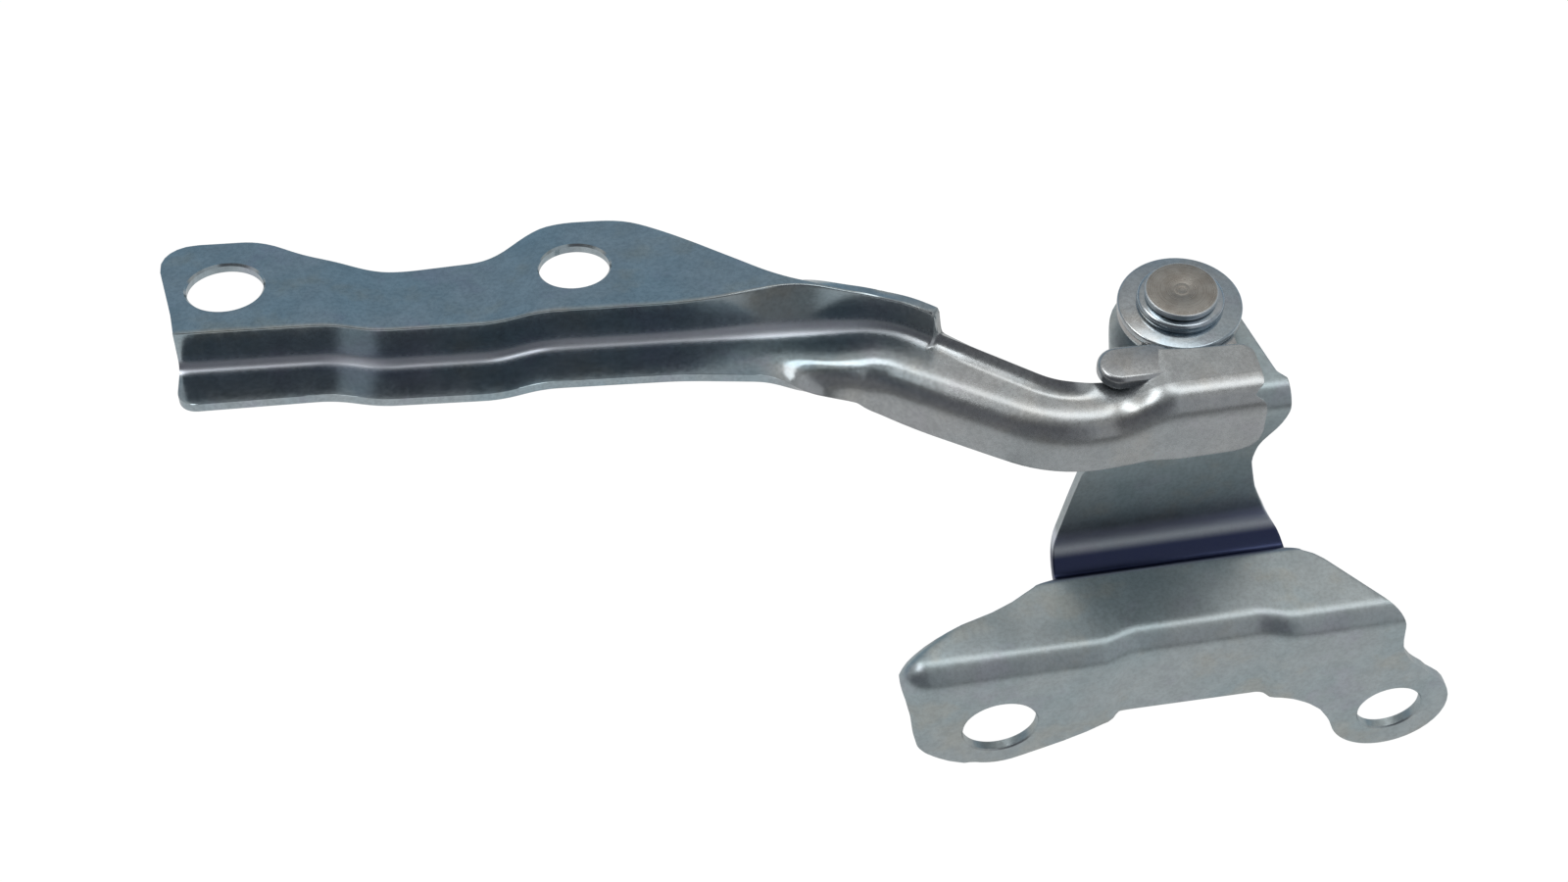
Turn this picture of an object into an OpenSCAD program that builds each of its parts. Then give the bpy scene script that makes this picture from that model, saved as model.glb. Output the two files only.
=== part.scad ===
// Bonnet hinge: a pressed body bracket and a pressed bonnet arm on one riveted pivot.
// Frame: X along the bolt flange, Y away from the bolt face, Z along the pivot, head up.
// The origin is the centre of the left body hole, on the bolt face.

/* [Pivot] */
// Pivot axis to the right of the datum hole
pivot_x = 45; // [35:1:55]
// Pivot axis behind the bolt face
pivot_y = 51; // [49:1:56]
// Top of the large washer above the datum hole
pivot_z = 68; // [66:1:76]
// Shank diameter of the pivot pin
pin_d = 10; // [8:0.5:11]
// Tail diameter of the pin, through the lug
tail_d = 8; // [6:0.5:9]
// Diameter of the pin head
head_d = 15; // [13:0.5:17]
// Height of the pin head
head_h = 1.8; // [1.2:0.1:3]
// Edge radius of the pin head
head_edge = 0.6; // [0.2:0.1:1]
// Diameter of the swaged tail
swage_d = 13; // [11:0.5:14]
// Height of the swaged tail
swage_h = 2; // [1:0.1:3]
// Diameter of the ring under the head
ring_d = 18; // [16.5:0.5:20]
// Thickness of the ring under the head
ring_t = 2.1; // [1.5:0.1:3]
// Diameter of the large washer
washer_d = 25.6; // [24:0.2:27]
// Thickness of the large washer
washer_t = 1.6; // [1:0.1:2]
// Edge radius of the ring and of the washers
washer_edge = 0.3; // [0.1:0.05:0.4]
// Wall of the plain bush in the arm
bush_wall = 1; // [0.7:0.1:1.5]
// Diameter of the bush flange under the arm
bush_flange_d = 20; // [17:0.5:24]
// Thickness of the bush flange
bush_flange_t = 0.8; // [0.5:0.1:1.2]
// Diameter of the collar between arm and lug
collar_d = 18; // [15:0.5:22]
// Height of the collar
collar_h = 3.4; // [2.5:0.1:5]
// Diameter of the washer under the lug
tail_washer_d = 17; // [14.5:0.5:20]
// Thickness of the washer under the lug
tail_washer_t = 1.5; // [1:0.1:2.5]
// Running clearance on the pin, on the radius
run_fit = 0.05; // [0.02:0.01:0.1]

/* [Arm] */
// Sheet thickness of the bonnet arm
arm_t = 2; // [1.6:0.1:2.3]
// Length of the straight beam
beam_run = 141; // [125:1:150]
// Swing of the beam, away from the line of the bolt flange
beam_angle = 5; // [3:0.5:7]
// Turn from the beam into the neck
neck_turn = 34; // [30:1:38]
// Radius of that turn
neck_r1 = 22; // [18:1:26]
// Straight length of the neck
neck_run = 26.5; // [22:0.5:30]
// Radius of the turn from the neck to the pivot pad
neck_r2 = 20; // [16:1:24]
// Depth of the web under the beam
web_depth = 9.6; // [8:0.2:12]
// Slant height of the riser between the web and the bonnet flange
riser_h = 9.7; // [9:0.1:11]
// Slope of that riser
riser_angle = 87; // [80:1:88]
// Fall of the bonnet flange away from the riser
flange_fall = 10; // [6:1:12]
// Width of the bonnet flange at its two hole pads
flange_w = 30.6; // [28:0.2:34]
// Width of the bonnet flange between the pads
flange_waist = 19; // [17:0.5:24]
// Depth of the cross bead between the pads
bead_depth = 2.6; // [1:0.1:3]
// Front hole, from the free end of the arm
hole1_from_end = 14.6; // [13:0.2:18]
// Distance between the two bonnet holes
bonnet_pitch = 70.8; // [66:0.2:74]
// Bonnet holes, behind the top of the riser
hole_back = 15.4; // [14:0.2:18]
// Diameter of the front bonnet hole
hole1_d = 15.6; // [10:0.2:17]
// Diameter of the rear bonnet hole
hole2_d = 14.5; // [10:0.1:17]
// Length of the down flange on the neck
down_flange = 12; // [9:0.5:14]
// Length of the down flange under the pivot pad
pad_flange = 16.4; // [12:0.2:17]
// Rise of the pivot pad above the web
pad_rise = 4.2; // [3:0.1:5]
// Right end of the pivot pad, from the pivot axis
pad_end = 10.5; // [9:0.5:12]
// Radius of the arm's eye under the large washer
eye_r = 12.6; // [12:0.1:13]
// Gap between the washer and the wall around the eye
eye_gap = 1.6; // [1:0.1:2.5]
// Length of the stop finger
finger_l = 14; // [11:0.5:16]
// Width of the stop finger
finger_w = 8.6; // [7:0.2:10]

/* [Bracket] */
// Sheet thickness of the body bracket
bracket_t = 2.4; // [2:0.1:2.8]
// Radius of the lug around the pivot
lug_r = 13.8; // [13:0.2:14.5]
// Half width of the lug at its bend, on the left
lug_left = 15; // [14:0.2:15.2]
// Half width of the lug at its bend, on the right
lug_right = 19; // [17:0.2:21]
// Face of the bracket's wall in front of the pivot axis
wall_y = 22; // [20:0.5:23]
// Height of that wall, from the lug to the shelf
wall_h = 40; // [34:0.5:42]
// Outer radius of the bends
bend_r = 5; // [4:0.1:6]
// Inner radius of the valley at the foot of the wall
valley_r = 3; // [2.5:0.1:4]
// Depth of the valley below the shelf
valley_depth = 2.8; // [1.5:0.1:3.2]
// Step of the middle panel behind the bolt pads
panel_step = 1.9; // [0.5:0.1:2.5]
// Left end of the middle panel, from the datum hole
panel_x0 = 25; // [20:0.5:30]
// Right end of the middle panel, from the datum hole
panel_x1 = 58; // [50:0.5:64]
// Depth of the bolt flange at the left pad, below the datum hole
pad_below = 12.6; // [10:0.2:15]
// Pitch of the body holes along X
body_pitch = 86.5; // [82:0.5:90]
// Drop of the right body hole
body_drop = 14; // [11:0.2:16]
// Diameter of the left body hole
left_hole_d = 16; // [10:0.5:17]
// Diameter of the right body hole
right_hole_d = 14; // [10:0.5:16]
// Radius of the lobe around the right body hole
lobe_r = 13; // [11:0.2:14]

/* [Hidden] */
$fn = 96;

zinc = [0.62, 0.66, 0.67];
bright_zinc = [0.70, 0.75, 0.78];
bare_steel = [0.45, 0.44, 0.42];
bronze = [0.55, 0.44, 0.27];

// Levels along the pivot, with the top of the large washer at zero
eye_top = -washer_t;
eye_low = eye_top - arm_t;
collar_top = eye_low - bush_flange_t;
lug_top = collar_top - collar_h;
lug_low = lug_top - bracket_t;
tail_low = lug_low - tail_washer_t;
bush_r = pin_d / 2 + run_fit + bush_wall;

// Levels and lines of the bracket, seen from the pivot
shelf_z = lug_top - wall_h;
face_y = -pivot_y;
datum = [-pivot_x, face_y, -pivot_z];
right_hole = datum + [body_pitch, 0, -body_drop];
panel_left = datum[0] + panel_x0;
panel_right = datum[0] + panel_x1;
big = 400;

// A flat ring sector, for a bend seen from its end
module bend_sector(centre, r_out, r_in, a0, a1) {
    steps = max(2, ceil((a1 - a0) / 40));
    reach = 2 * r_out;
    translate(centre) intersection() {
        difference() {
            circle(r_out);
            circle(r_in);
        }
        polygon(concat([[0, 0]], [for (i = [0:steps])
            reach * [cos(a0 + (a1 - a0) * i / steps), sin(a0 + (a1 - a0) * i / steps)]]));
    }
}

// A ring or washer with softened edges, its top at z
module soft_ring(d_out, d_in, t, z, edge) {
    translate([0, 0, z - t]) rotate_extrude() polygon([
        [d_in / 2, 0], [d_out / 2 - edge, 0], [d_out / 2, edge],
        [d_out / 2, t - edge], [d_out / 2 - edge, t], [d_in / 2, t]]);
}

// The arm's form, as values along its spine u.
// The spine follows the foot of the riser: beam, turn, neck, turn, pad.

arc1 = neck_r1 * neck_turn * PI / 180;
turn2 = neck_turn + beam_angle;
arc2 = neck_r2 * turn2 * PI / 180;
u_arc1 = beam_run;
u_neck = u_arc1 + arc1;
u_arc2 = u_neck + neck_run;
u_pad = u_arc2 + arc2;

function heading(u) =
    u < u_arc1 ? -beam_angle :
    u < u_neck ? -beam_angle - (u - u_arc1) / neck_r1 * 180 / PI :
    u < u_arc2 ? -beam_angle - neck_turn :
    u < u_pad ? -beam_angle - neck_turn + (u - u_arc2) / neck_r2 * 180 / PI : 0;
function along(a, s) = s * [cos(a), sin(a)];
function arc_step(a, r, turn) = r * [sin(a + turn) - sin(a), cos(a) - cos(a + turn)];
function spine_rel(u) =
    u < u_arc1 ? along(-beam_angle, u) :
    u < u_neck ? spine_rel_at_arc1 + arc_step(-beam_angle, -neck_r1, heading(u) + beam_angle) :
    u < u_arc2 ? spine_rel_at_neck + along(heading(u), u - u_neck) :
    u < u_pad ? spine_rel_at_arc2
        + arc_step(-beam_angle - neck_turn, neck_r2, heading(u) + beam_angle + neck_turn) :
    spine_rel_at_pad + [u - u_pad, 0];
spine_rel_at_arc1 = along(-beam_angle, beam_run);
spine_rel_at_neck = spine_rel_at_arc1 + arc_step(-beam_angle, -neck_r1, -neck_turn);
spine_rel_at_arc2 = spine_rel_at_neck + along(-beam_angle - neck_turn, neck_run);
spine_rel_at_pad = spine_rel_at_arc2 + arc_step(-beam_angle - neck_turn, neck_r2, turn2);

// The pad's spine lies behind its front face, and ends at the right end of the pad
pad_web = 9;
pad_front = wall_y + 7.3;
pad_length = 32.3;
u_end = u_pad + pad_length;
spine_end = [pad_end, pad_web - pad_front];
function spine(u) = spine_rel(u) - spine_rel(u_end) + spine_end;

// Wall around the eye, and the finger's place
wall_in = washer_d / 2 + eye_gap;
wall_out = wall_in + arm_t;
finger_y = -(wall_in + 2.6);

// Stretches of the beam, from the free end
tip_over = 1.2;
u_tip = -0.6;
pad1_end = 21.5;
waist_a = 39;
waist_b = 68;
pad2_rise = 13.5;
pad2_len = 15.5;
pad2_a = waist_b + pad2_rise;
pad2_b = pad2_a + pad2_len;
u_wall = 128;
u_cut = u_neck + 3.4;
lip_h = 2.4;
lip_angle = 42;
flat_end = 1.5;
wall_top = 6.6;

function flange_width(u) = spine(u)[0] > 1 - wall_in
    ? -spine(u)[1] - sqrt(pow(wall_in + 0.8, 2) - pow(spine(u)[0], 2)) - lip_h
    : lookup(u, [[0, flange_w], [pad1_end, flange_w], [pad1_end + 9, 0.4 * flange_w + 0.6 * flange_waist],
        [waist_a, flange_waist + 1.6], [waist_a + 10, flange_waist], [waist_b, flange_waist + 2],
        [waist_b + 8, flange_w - 2.5], [pad2_a, flange_w], [pad2_b, flange_w], [pad2_b + 5, flange_w - 2.5],
        [u_wall - 12, 0.45 * flange_w], [u_wall, 4], [u_wall + 8, 0.8], [u_end, 0.8]]);
function flange_dir(u) = lookup(u, [[0, -flange_fall], [u_wall - 12, -flange_fall],
    [u_wall + 10, riser_angle], [u_cut, riser_angle], [u_cut + 0.6, lip_angle], [u_pad - 5, lip_angle],
    [u_pad + 4, 0], [u_end, 0]]);
function riser_len(u) = lookup(u, [[0, riser_h], [pad2_b + 6, riser_h], [u_wall, riser_h + 0.9],
    [u_wall + 8, riser_h + 1.1], [u_wall + 16, wall_top], [u_cut, wall_top], [u_cut + 0.6, lip_h],
    [u_end, lip_h]]);
function riser_dir(u) = lookup(u, [[0, riser_angle], [u_cut, riser_angle], [u_cut + 0.6, lip_angle],
    [u_pad - 5, lip_angle], [u_pad + 4, 0], [u_end, 0]]);
function down_dir(u) = lookup(u, [[0, 0], [u_arc1 - 32, 0], [u_arc1 - 14, 50], [u_arc1 - 2, 88],
    [u_end, 90]]);
function down_len(u) = lookup(u, [[0, flat_end], [u_arc1 - 32, flat_end], [u_arc1 - 14, 6],
    [u_arc1 + 2, down_flange], [u_neck + 8, down_flange + 1], [u_arc2 + 4, down_flange],
    [u_pad + 6, down_flange + 0.4], [u_pad + 12, pad_flange], [u_end, pad_flange]]);
function web(u) = lookup(u, [[0, web_depth - flat_end], [waist_a, web_depth - flat_end - 0.8],
    [waist_b, web_depth - flat_end - 0.4], [pad2_b + 9, web_depth - 1.6], [u_arc1 - 14, web_depth + 0.8],
    [u_arc1, web_depth + 1.8], [u_neck, web_depth + 1.1], [u_arc2, web_depth + 0.6], [u_pad, pad_web],
    [u_end, pad_web]]);
function level(u) = eye_top + lookup(u, [[0, 0], [waist_a - 3, 0], [waist_a + 6, -bead_depth],
    [waist_b + 1, -bead_depth], [waist_b + 10, 0], [u_pad + 4, 0], [u_pad + 11, pad_rise],
    [u_end, pad_rise]]);

// Section of the sheet: far edge, flange corner, riser foot, web corner, lower edge
function dir2(a) = [cos(a), sin(a)];
function section_knots(u) =
    let (foot = [0, 0],
         top = foot + riser_len(u) * dir2(riser_dir(u)),
         far = top + flange_width(u) * dir2(flange_dir(u)),
         near = [-web(u), 0],
         low = near - down_len(u) * dir2(down_dir(u)))
    [far, top, foot, near, low];
function unit(v) = v / norm(v);
// How far the rounding of each corner reaches, and the most of a side that it may take
corner_size = [3.2, 5, 5];
corner_share = [0.4, 0.54, 0.45];
function corner_cut(u, k) = let (p = section_knots(u))
    min(corner_size[k - 1], corner_share[k - 1] * min(norm(p[k] - p[k - 1]), norm(p[k + 1] - p[k])));
corner_steps = 4;
// Rounded corner k, as points with their directions
function corner_points(u, k) = let (p = section_knots(u), c = corner_cut(u, k),
        e0 = unit(p[k - 1] - p[k]), e1 = unit(p[k + 1] - p[k]))
    [for (i = [0:corner_steps]) let (t = i / corner_steps,
        pos = p[k] + c * (pow(1 - t, 2) * e0 + pow(t, 2) * e1),
        tan = unit(-(1 - t) * e0 + t * e1)) [pos, tan]];
function section(u) = let (p = section_knots(u)) concat(
    [[p[0], unit(p[1] - p[0])]],
    corner_points(u, 1), corner_points(u, 2), corner_points(u, 3),
    [[p[4], unit(p[4] - p[3])]]);
// From the section's plane at u into space; back is the depth below the front face
function placed(u, pt, back) =
    let (a = heading(u), o = spine(u),
         n = [pt[1][1], -pt[1][0]],
         q = pt[0] + back * n)
    [o[0] - sin(a) * q[0], o[1] + cos(a) * q[0], level(u) + q[1]];

stations = concat(
    [for (u = [-tip_over:6.5:waist_a - 4]) u],
    [for (i = [0:4]) waist_a - 3 + i * 2.25],
    [for (u = [waist_a + 12:6:waist_b - 3]) u],
    [for (i = [0:5]) waist_b + 1 + i * 2.25],
    [for (i = [0:5]) pad2_a + i * (pad2_b - pad2_a + 6) / 5],
    [for (i = [1:9]) pad2_b + 6 + i * (u_arc1 - pad2_b - 6) / 10],
    [for (i = [0:5]) u_arc1 + i * arc1 / 5],
    [u_cut - 0.1, u_cut + 0.7],
    [for (i = [1:4]) u_cut + 0.7 + i * (u_arc2 - u_cut - 0.7) / 5],
    [for (i = [0:5]) u_arc2 + i * arc2 / 5],
    [for (i = [1:6]) u_pad + 4 + i * 7 / 6],
    [for (i = [1:7]) u_pad + 11 + i * (u_end - u_pad - 11) / 7]);

// Closed skin between the front and back faces of a sheet, both given as rows of points
module sheet_skin(front, back) {
    n = len(front);
    m = len(front[0]);
    points = concat([for (row = front) each row], [for (row = back) each row]);
    f = function (i, j) i * m + j;
    b = function (i, j) n * m + i * m + j;
    skin = [for (i = [0:n - 2]) for (j = [0:m - 2]) each [
        [f(i, j), f(i + 1, j), f(i + 1, j + 1)], [f(i, j), f(i + 1, j + 1), f(i, j + 1)],
        [b(i, j), b(i + 1, j + 1), b(i + 1, j)], [b(i, j), b(i, j + 1), b(i + 1, j + 1)]]];
    edges = [for (i = [0:n - 2]) each [
        [f(i, 0), b(i, 0), b(i + 1, 0)], [f(i, 0), b(i + 1, 0), f(i + 1, 0)],
        [f(i, m - 1), b(i + 1, m - 1), b(i, m - 1)], [f(i, m - 1), f(i + 1, m - 1), b(i + 1, m - 1)]]];
    ends = [for (j = [0:m - 2]) each [
        [f(0, j), b(0, j + 1), b(0, j)], [f(0, j), f(0, j + 1), b(0, j + 1)],
        [f(n - 1, j), b(n - 1, j), b(n - 1, j + 1)], [f(n - 1, j), b(n - 1, j + 1), f(n - 1, j + 1)]]];
    polyhedron(points, concat(skin, edges, ends), convexity = 8);
}

module arm_sheet() {
    rows = [for (u = stations) section(u)];
    sheet_skin(
        [for (i = [0:len(rows) - 1]) [for (pt = rows[i]) placed(stations[i], pt, 0)]],
        [for (i = [0:len(rows) - 1]) [for (pt = rows[i]) placed(stations[i], pt, -arm_t)]]);
}

// Beam frame: x along the beam from its free end, y away, z from the web's face
module at_beam() {
    translate([spine(0)[0], spine(0)[1], eye_top]) rotate(-beam_angle) children();
}
riser_run = riser_h * cos(riser_angle);
riser_top = riser_h * sin(riser_angle);
function flange_point(x, back) = [x, riser_run + back * cos(flange_fall), riser_top - back * sin(flange_fall)];
module flange_drill(x, d) {
    translate(flange_point(x, hole_back)) rotate([-flange_fall, 0, 0]) cylinder(d = d, h = 30, center = true);
}

// Trims the free end: a slant behind the riser, with round corners
tip_r = 7;
web_tip_r = 4;
tip_slant = 5.2;
module free_end_trim() {
    far = riser_run + flange_w * cos(flange_fall);
    tip = [u_tip + tip_r, far - tip_r];
    web_tip = [tip_slant + web_tip_r, web_tip_r - web_depth];
    translate([0, 0, -big / 2]) linear_extrude(big) difference() {
        translate([-big, -big / 2]) square([big + tip_slant + tip_r, big]);
        polygon([[tip_slant, web_tip_r], [tip_slant, web_tip[1]], web_tip, [web_tip[0], -big], [big, -big], [big, big],
            [tip[0], big], tip, [u_tip, tip[1]]]);
        translate(tip) circle(tip_r);
        translate(web_tip) circle(web_tip_r);
    }
}

// Round eye under the washer, with its wall up to the pad
module eye() {
    translate([0, 0, eye_low]) cylinder(r = eye_r, h = arm_t);
    intersection() {
        union() {
            translate([0, 0, eye_low]) cylinder(r = wall_out, h = arm_t);
            difference() {
                translate([0, 0, eye_low]) cylinder(r = wall_out, h = arm_t + pad_rise);
                translate([0, 0, eye_top]) cylinder(r = wall_in, h = 2 * pad_rise);
            }
        }
        translate([-pad_end, -big, -big / 2]) cube([2 * pad_end - 1, big - 8, big]);
    }
}

// Rounded stop finger beside the pad
module finger() {
    rise = eye_top + pad_rise;
    end_r = finger_w / 2;
    x0 = -8 - finger_l + end_r;
    translate([0, finger_y, rise - arm_t - 1]) {
        translate([x0, 0, 0]) cylinder(r = end_r, h = arm_t + 1);
        translate([x0, -end_r, 0]) cube([-x0 - 5, finger_w, arm_t + 1]);
    }
}

module bonnet_arm() {
    color(zinc) difference() {
        union() {
            arm_sheet();
            eye();
            finger();
        }
        at_beam() {
            flange_drill(hole1_from_end, hole1_d);
            flange_drill(hole1_from_end + bonnet_pitch, hole2_d);
            free_end_trim();
        }
        translate([0, 0, eye_low - 5]) cylinder(r = bush_r, h = 20);
    }
}

// Lug, wall and valley of the bracket, seen from the right: first axis Y, second axis Z
crest_r = 4;
valley_a = acos(1 - valley_depth / (valley_r + crest_r));
valley_run = (valley_r + crest_r) * sin(valley_a);
valley_y = -wall_y - valley_r;
valley_z = shelf_z - valley_depth + valley_r;
shelf_y = valley_y - valley_run;
shelf_lap = 0.6;
tongue = 4;
tongue_in = 0.1;
module stair_profile() {
    translate([bend_r - wall_y, lug_low]) square([wall_y - bend_r + lug_r + 2, bracket_t]);
    bend_sector([bend_r - wall_y, lug_top - bend_r], bend_r, bend_r - bracket_t, 90, 180);
    translate([-wall_y, valley_z]) square([bracket_t, lug_top - bend_r - valley_z]);
    bend_sector([valley_y, valley_z], valley_r + bracket_t, valley_r, -90 - valley_a, 0);
    bend_sector([shelf_y, shelf_z - crest_r], crest_r, crest_r - bracket_t, 90 - valley_a, 90);
    translate([shelf_y - shelf_lap, shelf_z - bracket_t]) square([shelf_lap, bracket_t]);
    translate([shelf_y - tongue, shelf_z - bracket_t + tongue_in]) square([tongue, bracket_t - 2 * tongue_in]);
}

// Outline of the lug from above, and of the wall from the front
module lug_outline() {
    circle(lug_r);
    polygon([[-lug_r * 0.94, lug_r * 0.34], [-lug_left, -4], [-lug_left, -wall_y - 1], [lug_right, -wall_y - 1],
        [lug_r * 0.96, lug_r * 0.28]]);
}
wall_waist = 12;
foot_left = -29;
foot_right = 20.5;
shelf_left = -33;
shelf_right = 23.5;
module wall_outline() {
    z0 = lug_top;
    low = shelf_z - 8;
    polygon([[-lug_left, z0 + 1], [-lug_left, z0 - 8], [-23.6, z0 - 14], [-25.6, z0 - 24],
        [-27.6, z0 - 34], [-28.6, shelf_z + 1], [foot_left, shelf_z - 1.4], [foot_left, low], [foot_right, low],
        [foot_right, shelf_z - 1.4], [18.6, shelf_z + 1], [16.6, z0 - 35], [14, z0 - 28], [wall_waist, z0 - 19],
        [wall_waist + 1.2, z0 - 14], [17.5, z0 - 9], [lug_right, z0 - 4], [lug_right, z0 + 1]]);
}
module side_prism(x0, x1) {
    translate([x0, 0, 0]) rotate([90, 0, 90]) linear_extrude(x1 - x0) children();
}
module front_prism() {
    rotate([90, 0, 0]) translate([0, 0, -big / 2]) linear_extrude(big) children();
}

// Shelf and bolt flange: one sheet, as sections across its front edge from right to left.
// The middle panel steps back by panel_step, and the left end turns a drawn corner.
sheet_right = right_hole[0] + lobe_r + 1.5;
right_end = right_hole[0] - 0.5;
left_turn_x = datum[0] - 15.4;
corner_r = 5.8;
corner_turn = 84;
slant = 3.6;
function panel_in(x) = panel_step * lookup(x, [
    [panel_left - slant, 0], [panel_left - 0.5 * slant, 0.12], [panel_left + 0.5 * slant, 0.88],
    [panel_left + slant, 1], [panel_right - slant, 1], [panel_right - 0.5 * slant, 0.88],
    [panel_right + 0.5 * slant, 0.12], [panel_right + slant, 0]]);
function shelf_far(x) = lookup(x, [[left_turn_x, face_y + bend_r + 0.6], [left_turn_x + 1.5, face_y + bend_r + 3],
    [datum[0] - 11, face_y + 10.8], [datum[0] - 2.5, face_y + 13.6], [datum[0] + 6.6, face_y + 16.8],
    [shelf_left, shelf_y - 0.3], [shelf_right, shelf_y - 0.3], [shelf_right + 3.4, shelf_y - 3],
    [right_end - 4.5, face_y + bend_r + 0.6], [sheet_right, face_y + bend_r + 0.6]]);
// Each section: place on the front edge, heading, width of the shelf behind the bend
sections = concat(
    [for (x = [sheet_right, right_end, right_end - 4.5, 30, shelf_right + 3.4, shelf_right,
        panel_right + slant, panel_right + 0.5 * slant, panel_right - 0.5 * slant, panel_right - slant,
        panel_left + slant, panel_left + 0.5 * slant, panel_left - 0.5 * slant, panel_left - slant,
        shelf_left, datum[0] + 6.6, datum[0] - 2.5, datum[0] - 11, left_turn_x + 1.5, left_turn_x])
        let (y = face_y + panel_in(x)) [[x, y], 180, shelf_far(x) - y - bend_r]],
    [for (i = [1:10]) let (a = 180 - i * corner_turn / 10)
        [[left_turn_x, face_y + corner_r] + corner_r * [-sin(a), cos(a)], a, 0.6]]);
// Section points with their normals: first axis out of the front face, second axis up
fold_steps = 6;
function fold_section(w) = concat(
    [[[-bend_r - w, 0], [0, 1]]],
    [for (i = [0:fold_steps]) let (a = 90 - 90 * i / fold_steps)
        [[-bend_r, -bend_r] + bend_r * dir2(a), dir2(a)]],
    [[[0, -flange_depth], [1, 0]]]);
function folded(s, pt, depth) = let (q = pt[0] - depth * pt[1], a = s[1])
    [s[0][0] - sin(a) * q[0], s[0][1] + cos(a) * q[0], shelf_z + q[1]];
module shelf_sheet() {
    sheet_skin(
        [for (s = sections) [for (pt = fold_section(s[2])) folded(s, pt, bracket_t)]],
        [for (s = sections) [for (pt = fold_section(s[2])) folded(s, pt, 0)]]);
}

// Outline of the bolt flange from the front
flange_depth = shelf_z - right_hole[2] + lobe_r + bend_r;
module flange_outline() {
    left_low = datum[2] - pad_below;
    mid_low = datum[2] - 3;
    right_low = right_hole[2];
    translate([right_hole[0], right_hole[2]]) circle(lobe_r);
    translate([datum[0], datum[2]]) circle(pad_below);
    polygon([[datum[0] - 30, shelf_z + 2], [datum[0] - 30, shelf_z - 6], [datum[0] - 19.6, datum[2] + 3],
        [datum[0] - 17.4, datum[2] - 3.4], [datum[0] - 13, datum[2] - 8], [datum[0] - 7.6, datum[2] - 11],
        [datum[0] - 4, left_low + 0.4],
        [datum[0] + 5, left_low + 0.5], [datum[0] + 17, datum[2] - 7.6], [panel_left, mid_low],
        [panel_right, mid_low - 0.4], [panel_right + 8, mid_low - 3.4], [right_hole[0] - lobe_r, right_low + 1],
        [right_hole[0], right_low], [right_hole[0] + 9, right_low + 9.4], [right_hole[0] + 3, right_low + 15.6],
        [right_hole[0] - 0.5, right_low + 21], [right_hole[0] - 0.7, shelf_z + 2]]);
}

// What is left of the shelf and the bolt flange at the right end
module right_slant() {
    polygon([[shelf_right, shelf_y], [shelf_right + 3.4, shelf_y - 2.8], [right_end - 2, face_y + 2.6],
        [big, face_y + 2.6], [big, -big], [-big, -big], [-big, shelf_y]]);
}

module body_bracket() {
    color(zinc) difference() {
        union() {
            intersection() {
                side_prism(-45, 45) stair_profile();
                union() {
                    translate([0, 0, lug_top - bend_r]) linear_extrude(20) lug_outline();
                    intersection() {
                        front_prism() wall_outline();
                        translate([-big / 2, -big / 2, -big]) cube([big, big, big + lug_top - bend_r]);
                    }
                }
            }
            intersection() {
                shelf_sheet();
                front_prism() flange_outline();
                translate([0, 0, -big]) linear_extrude(2 * big) right_slant();
            }
        }
        translate([0, 0, lug_low - 3]) cylinder(d = tail_d, h = 10);
        translate([datum[0], face_y, datum[2]]) rotate([90, 0, 0]) cylinder(d = left_hole_d, h = 30, center = true);
        translate([right_hole[0], face_y, right_hole[2]]) rotate([90, 0, 0])
            cylinder(d = right_hole_d, h = 30, center = true);
    }
}

// Stepped pin: head, shank to the lug, tail through the lug, swaged end
module pivot_pin() {
    shank_top = ring_t;
    color(bare_steel) rotate_extrude() polygon(concat(
        [[0, tail_low - swage_h], [swage_d / 2 - 1, tail_low - swage_h], [swage_d / 2, tail_low - swage_h + 1],
         [swage_d / 2, tail_low], [tail_d / 2, tail_low], [tail_d / 2, lug_top], [pin_d / 2, lug_top],
         [pin_d / 2, shank_top], [head_d / 2, shank_top]],
        [for (a = [0:15:90]) [head_d / 2 - head_edge + head_edge * cos(a),
            shank_top + head_h - head_edge + head_edge * sin(a)]],
        [[0, shank_top + head_h]]));
}
module head_ring() {
    color(bright_zinc) soft_ring(ring_d, pin_d, ring_t, ring_t, washer_edge);
}
module thrust_washer() {
    color(bright_zinc) soft_ring(washer_d, pin_d, washer_t, 0, washer_edge);
}
module pivot_bush() {
    color(bronze) translate([0, 0, eye_low - bush_flange_t]) difference() {
        union() {
            cylinder(d = bush_flange_d, h = bush_flange_t);
            cylinder(r = bush_r, h = bush_flange_t + arm_t);
        }
        translate([0, 0, -1]) cylinder(r = pin_d / 2 + run_fit, h = arm_t + 4);
    }
}
module spacer_collar() {
    color(bright_zinc) soft_ring(collar_d, pin_d, collar_h, collar_top, washer_edge);
}
module tail_washer() {
    color(bright_zinc) soft_ring(tail_washer_d, tail_d, tail_washer_t, lug_low, washer_edge);
}

module at_pivot() {
    translate([pivot_x, pivot_y, pivot_z]) children();
}
at_pivot() body_bracket();
at_pivot() bonnet_arm();
at_pivot() pivot_pin();
at_pivot() head_ring();
at_pivot() thrust_washer();
at_pivot() pivot_bush();
at_pivot() spacer_collar();
at_pivot() tail_washer();
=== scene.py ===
# %% [markdown]
# # A pressed-steel bonnet hinge
# The hinge is two zinc-plated pressings on one riveted pivot: a stepped bracket that bolts to the
# body, and a cranked arm that bolts to the bonnet. We load the CAD model as a fixed frame, and every
# piece below is made in that same frame, in metres, so nothing has to be fitted by eye afterwards.

# %% Load the frame
import math

import bpy
import numpy as np
from mathutils import Matrix, Vector


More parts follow.
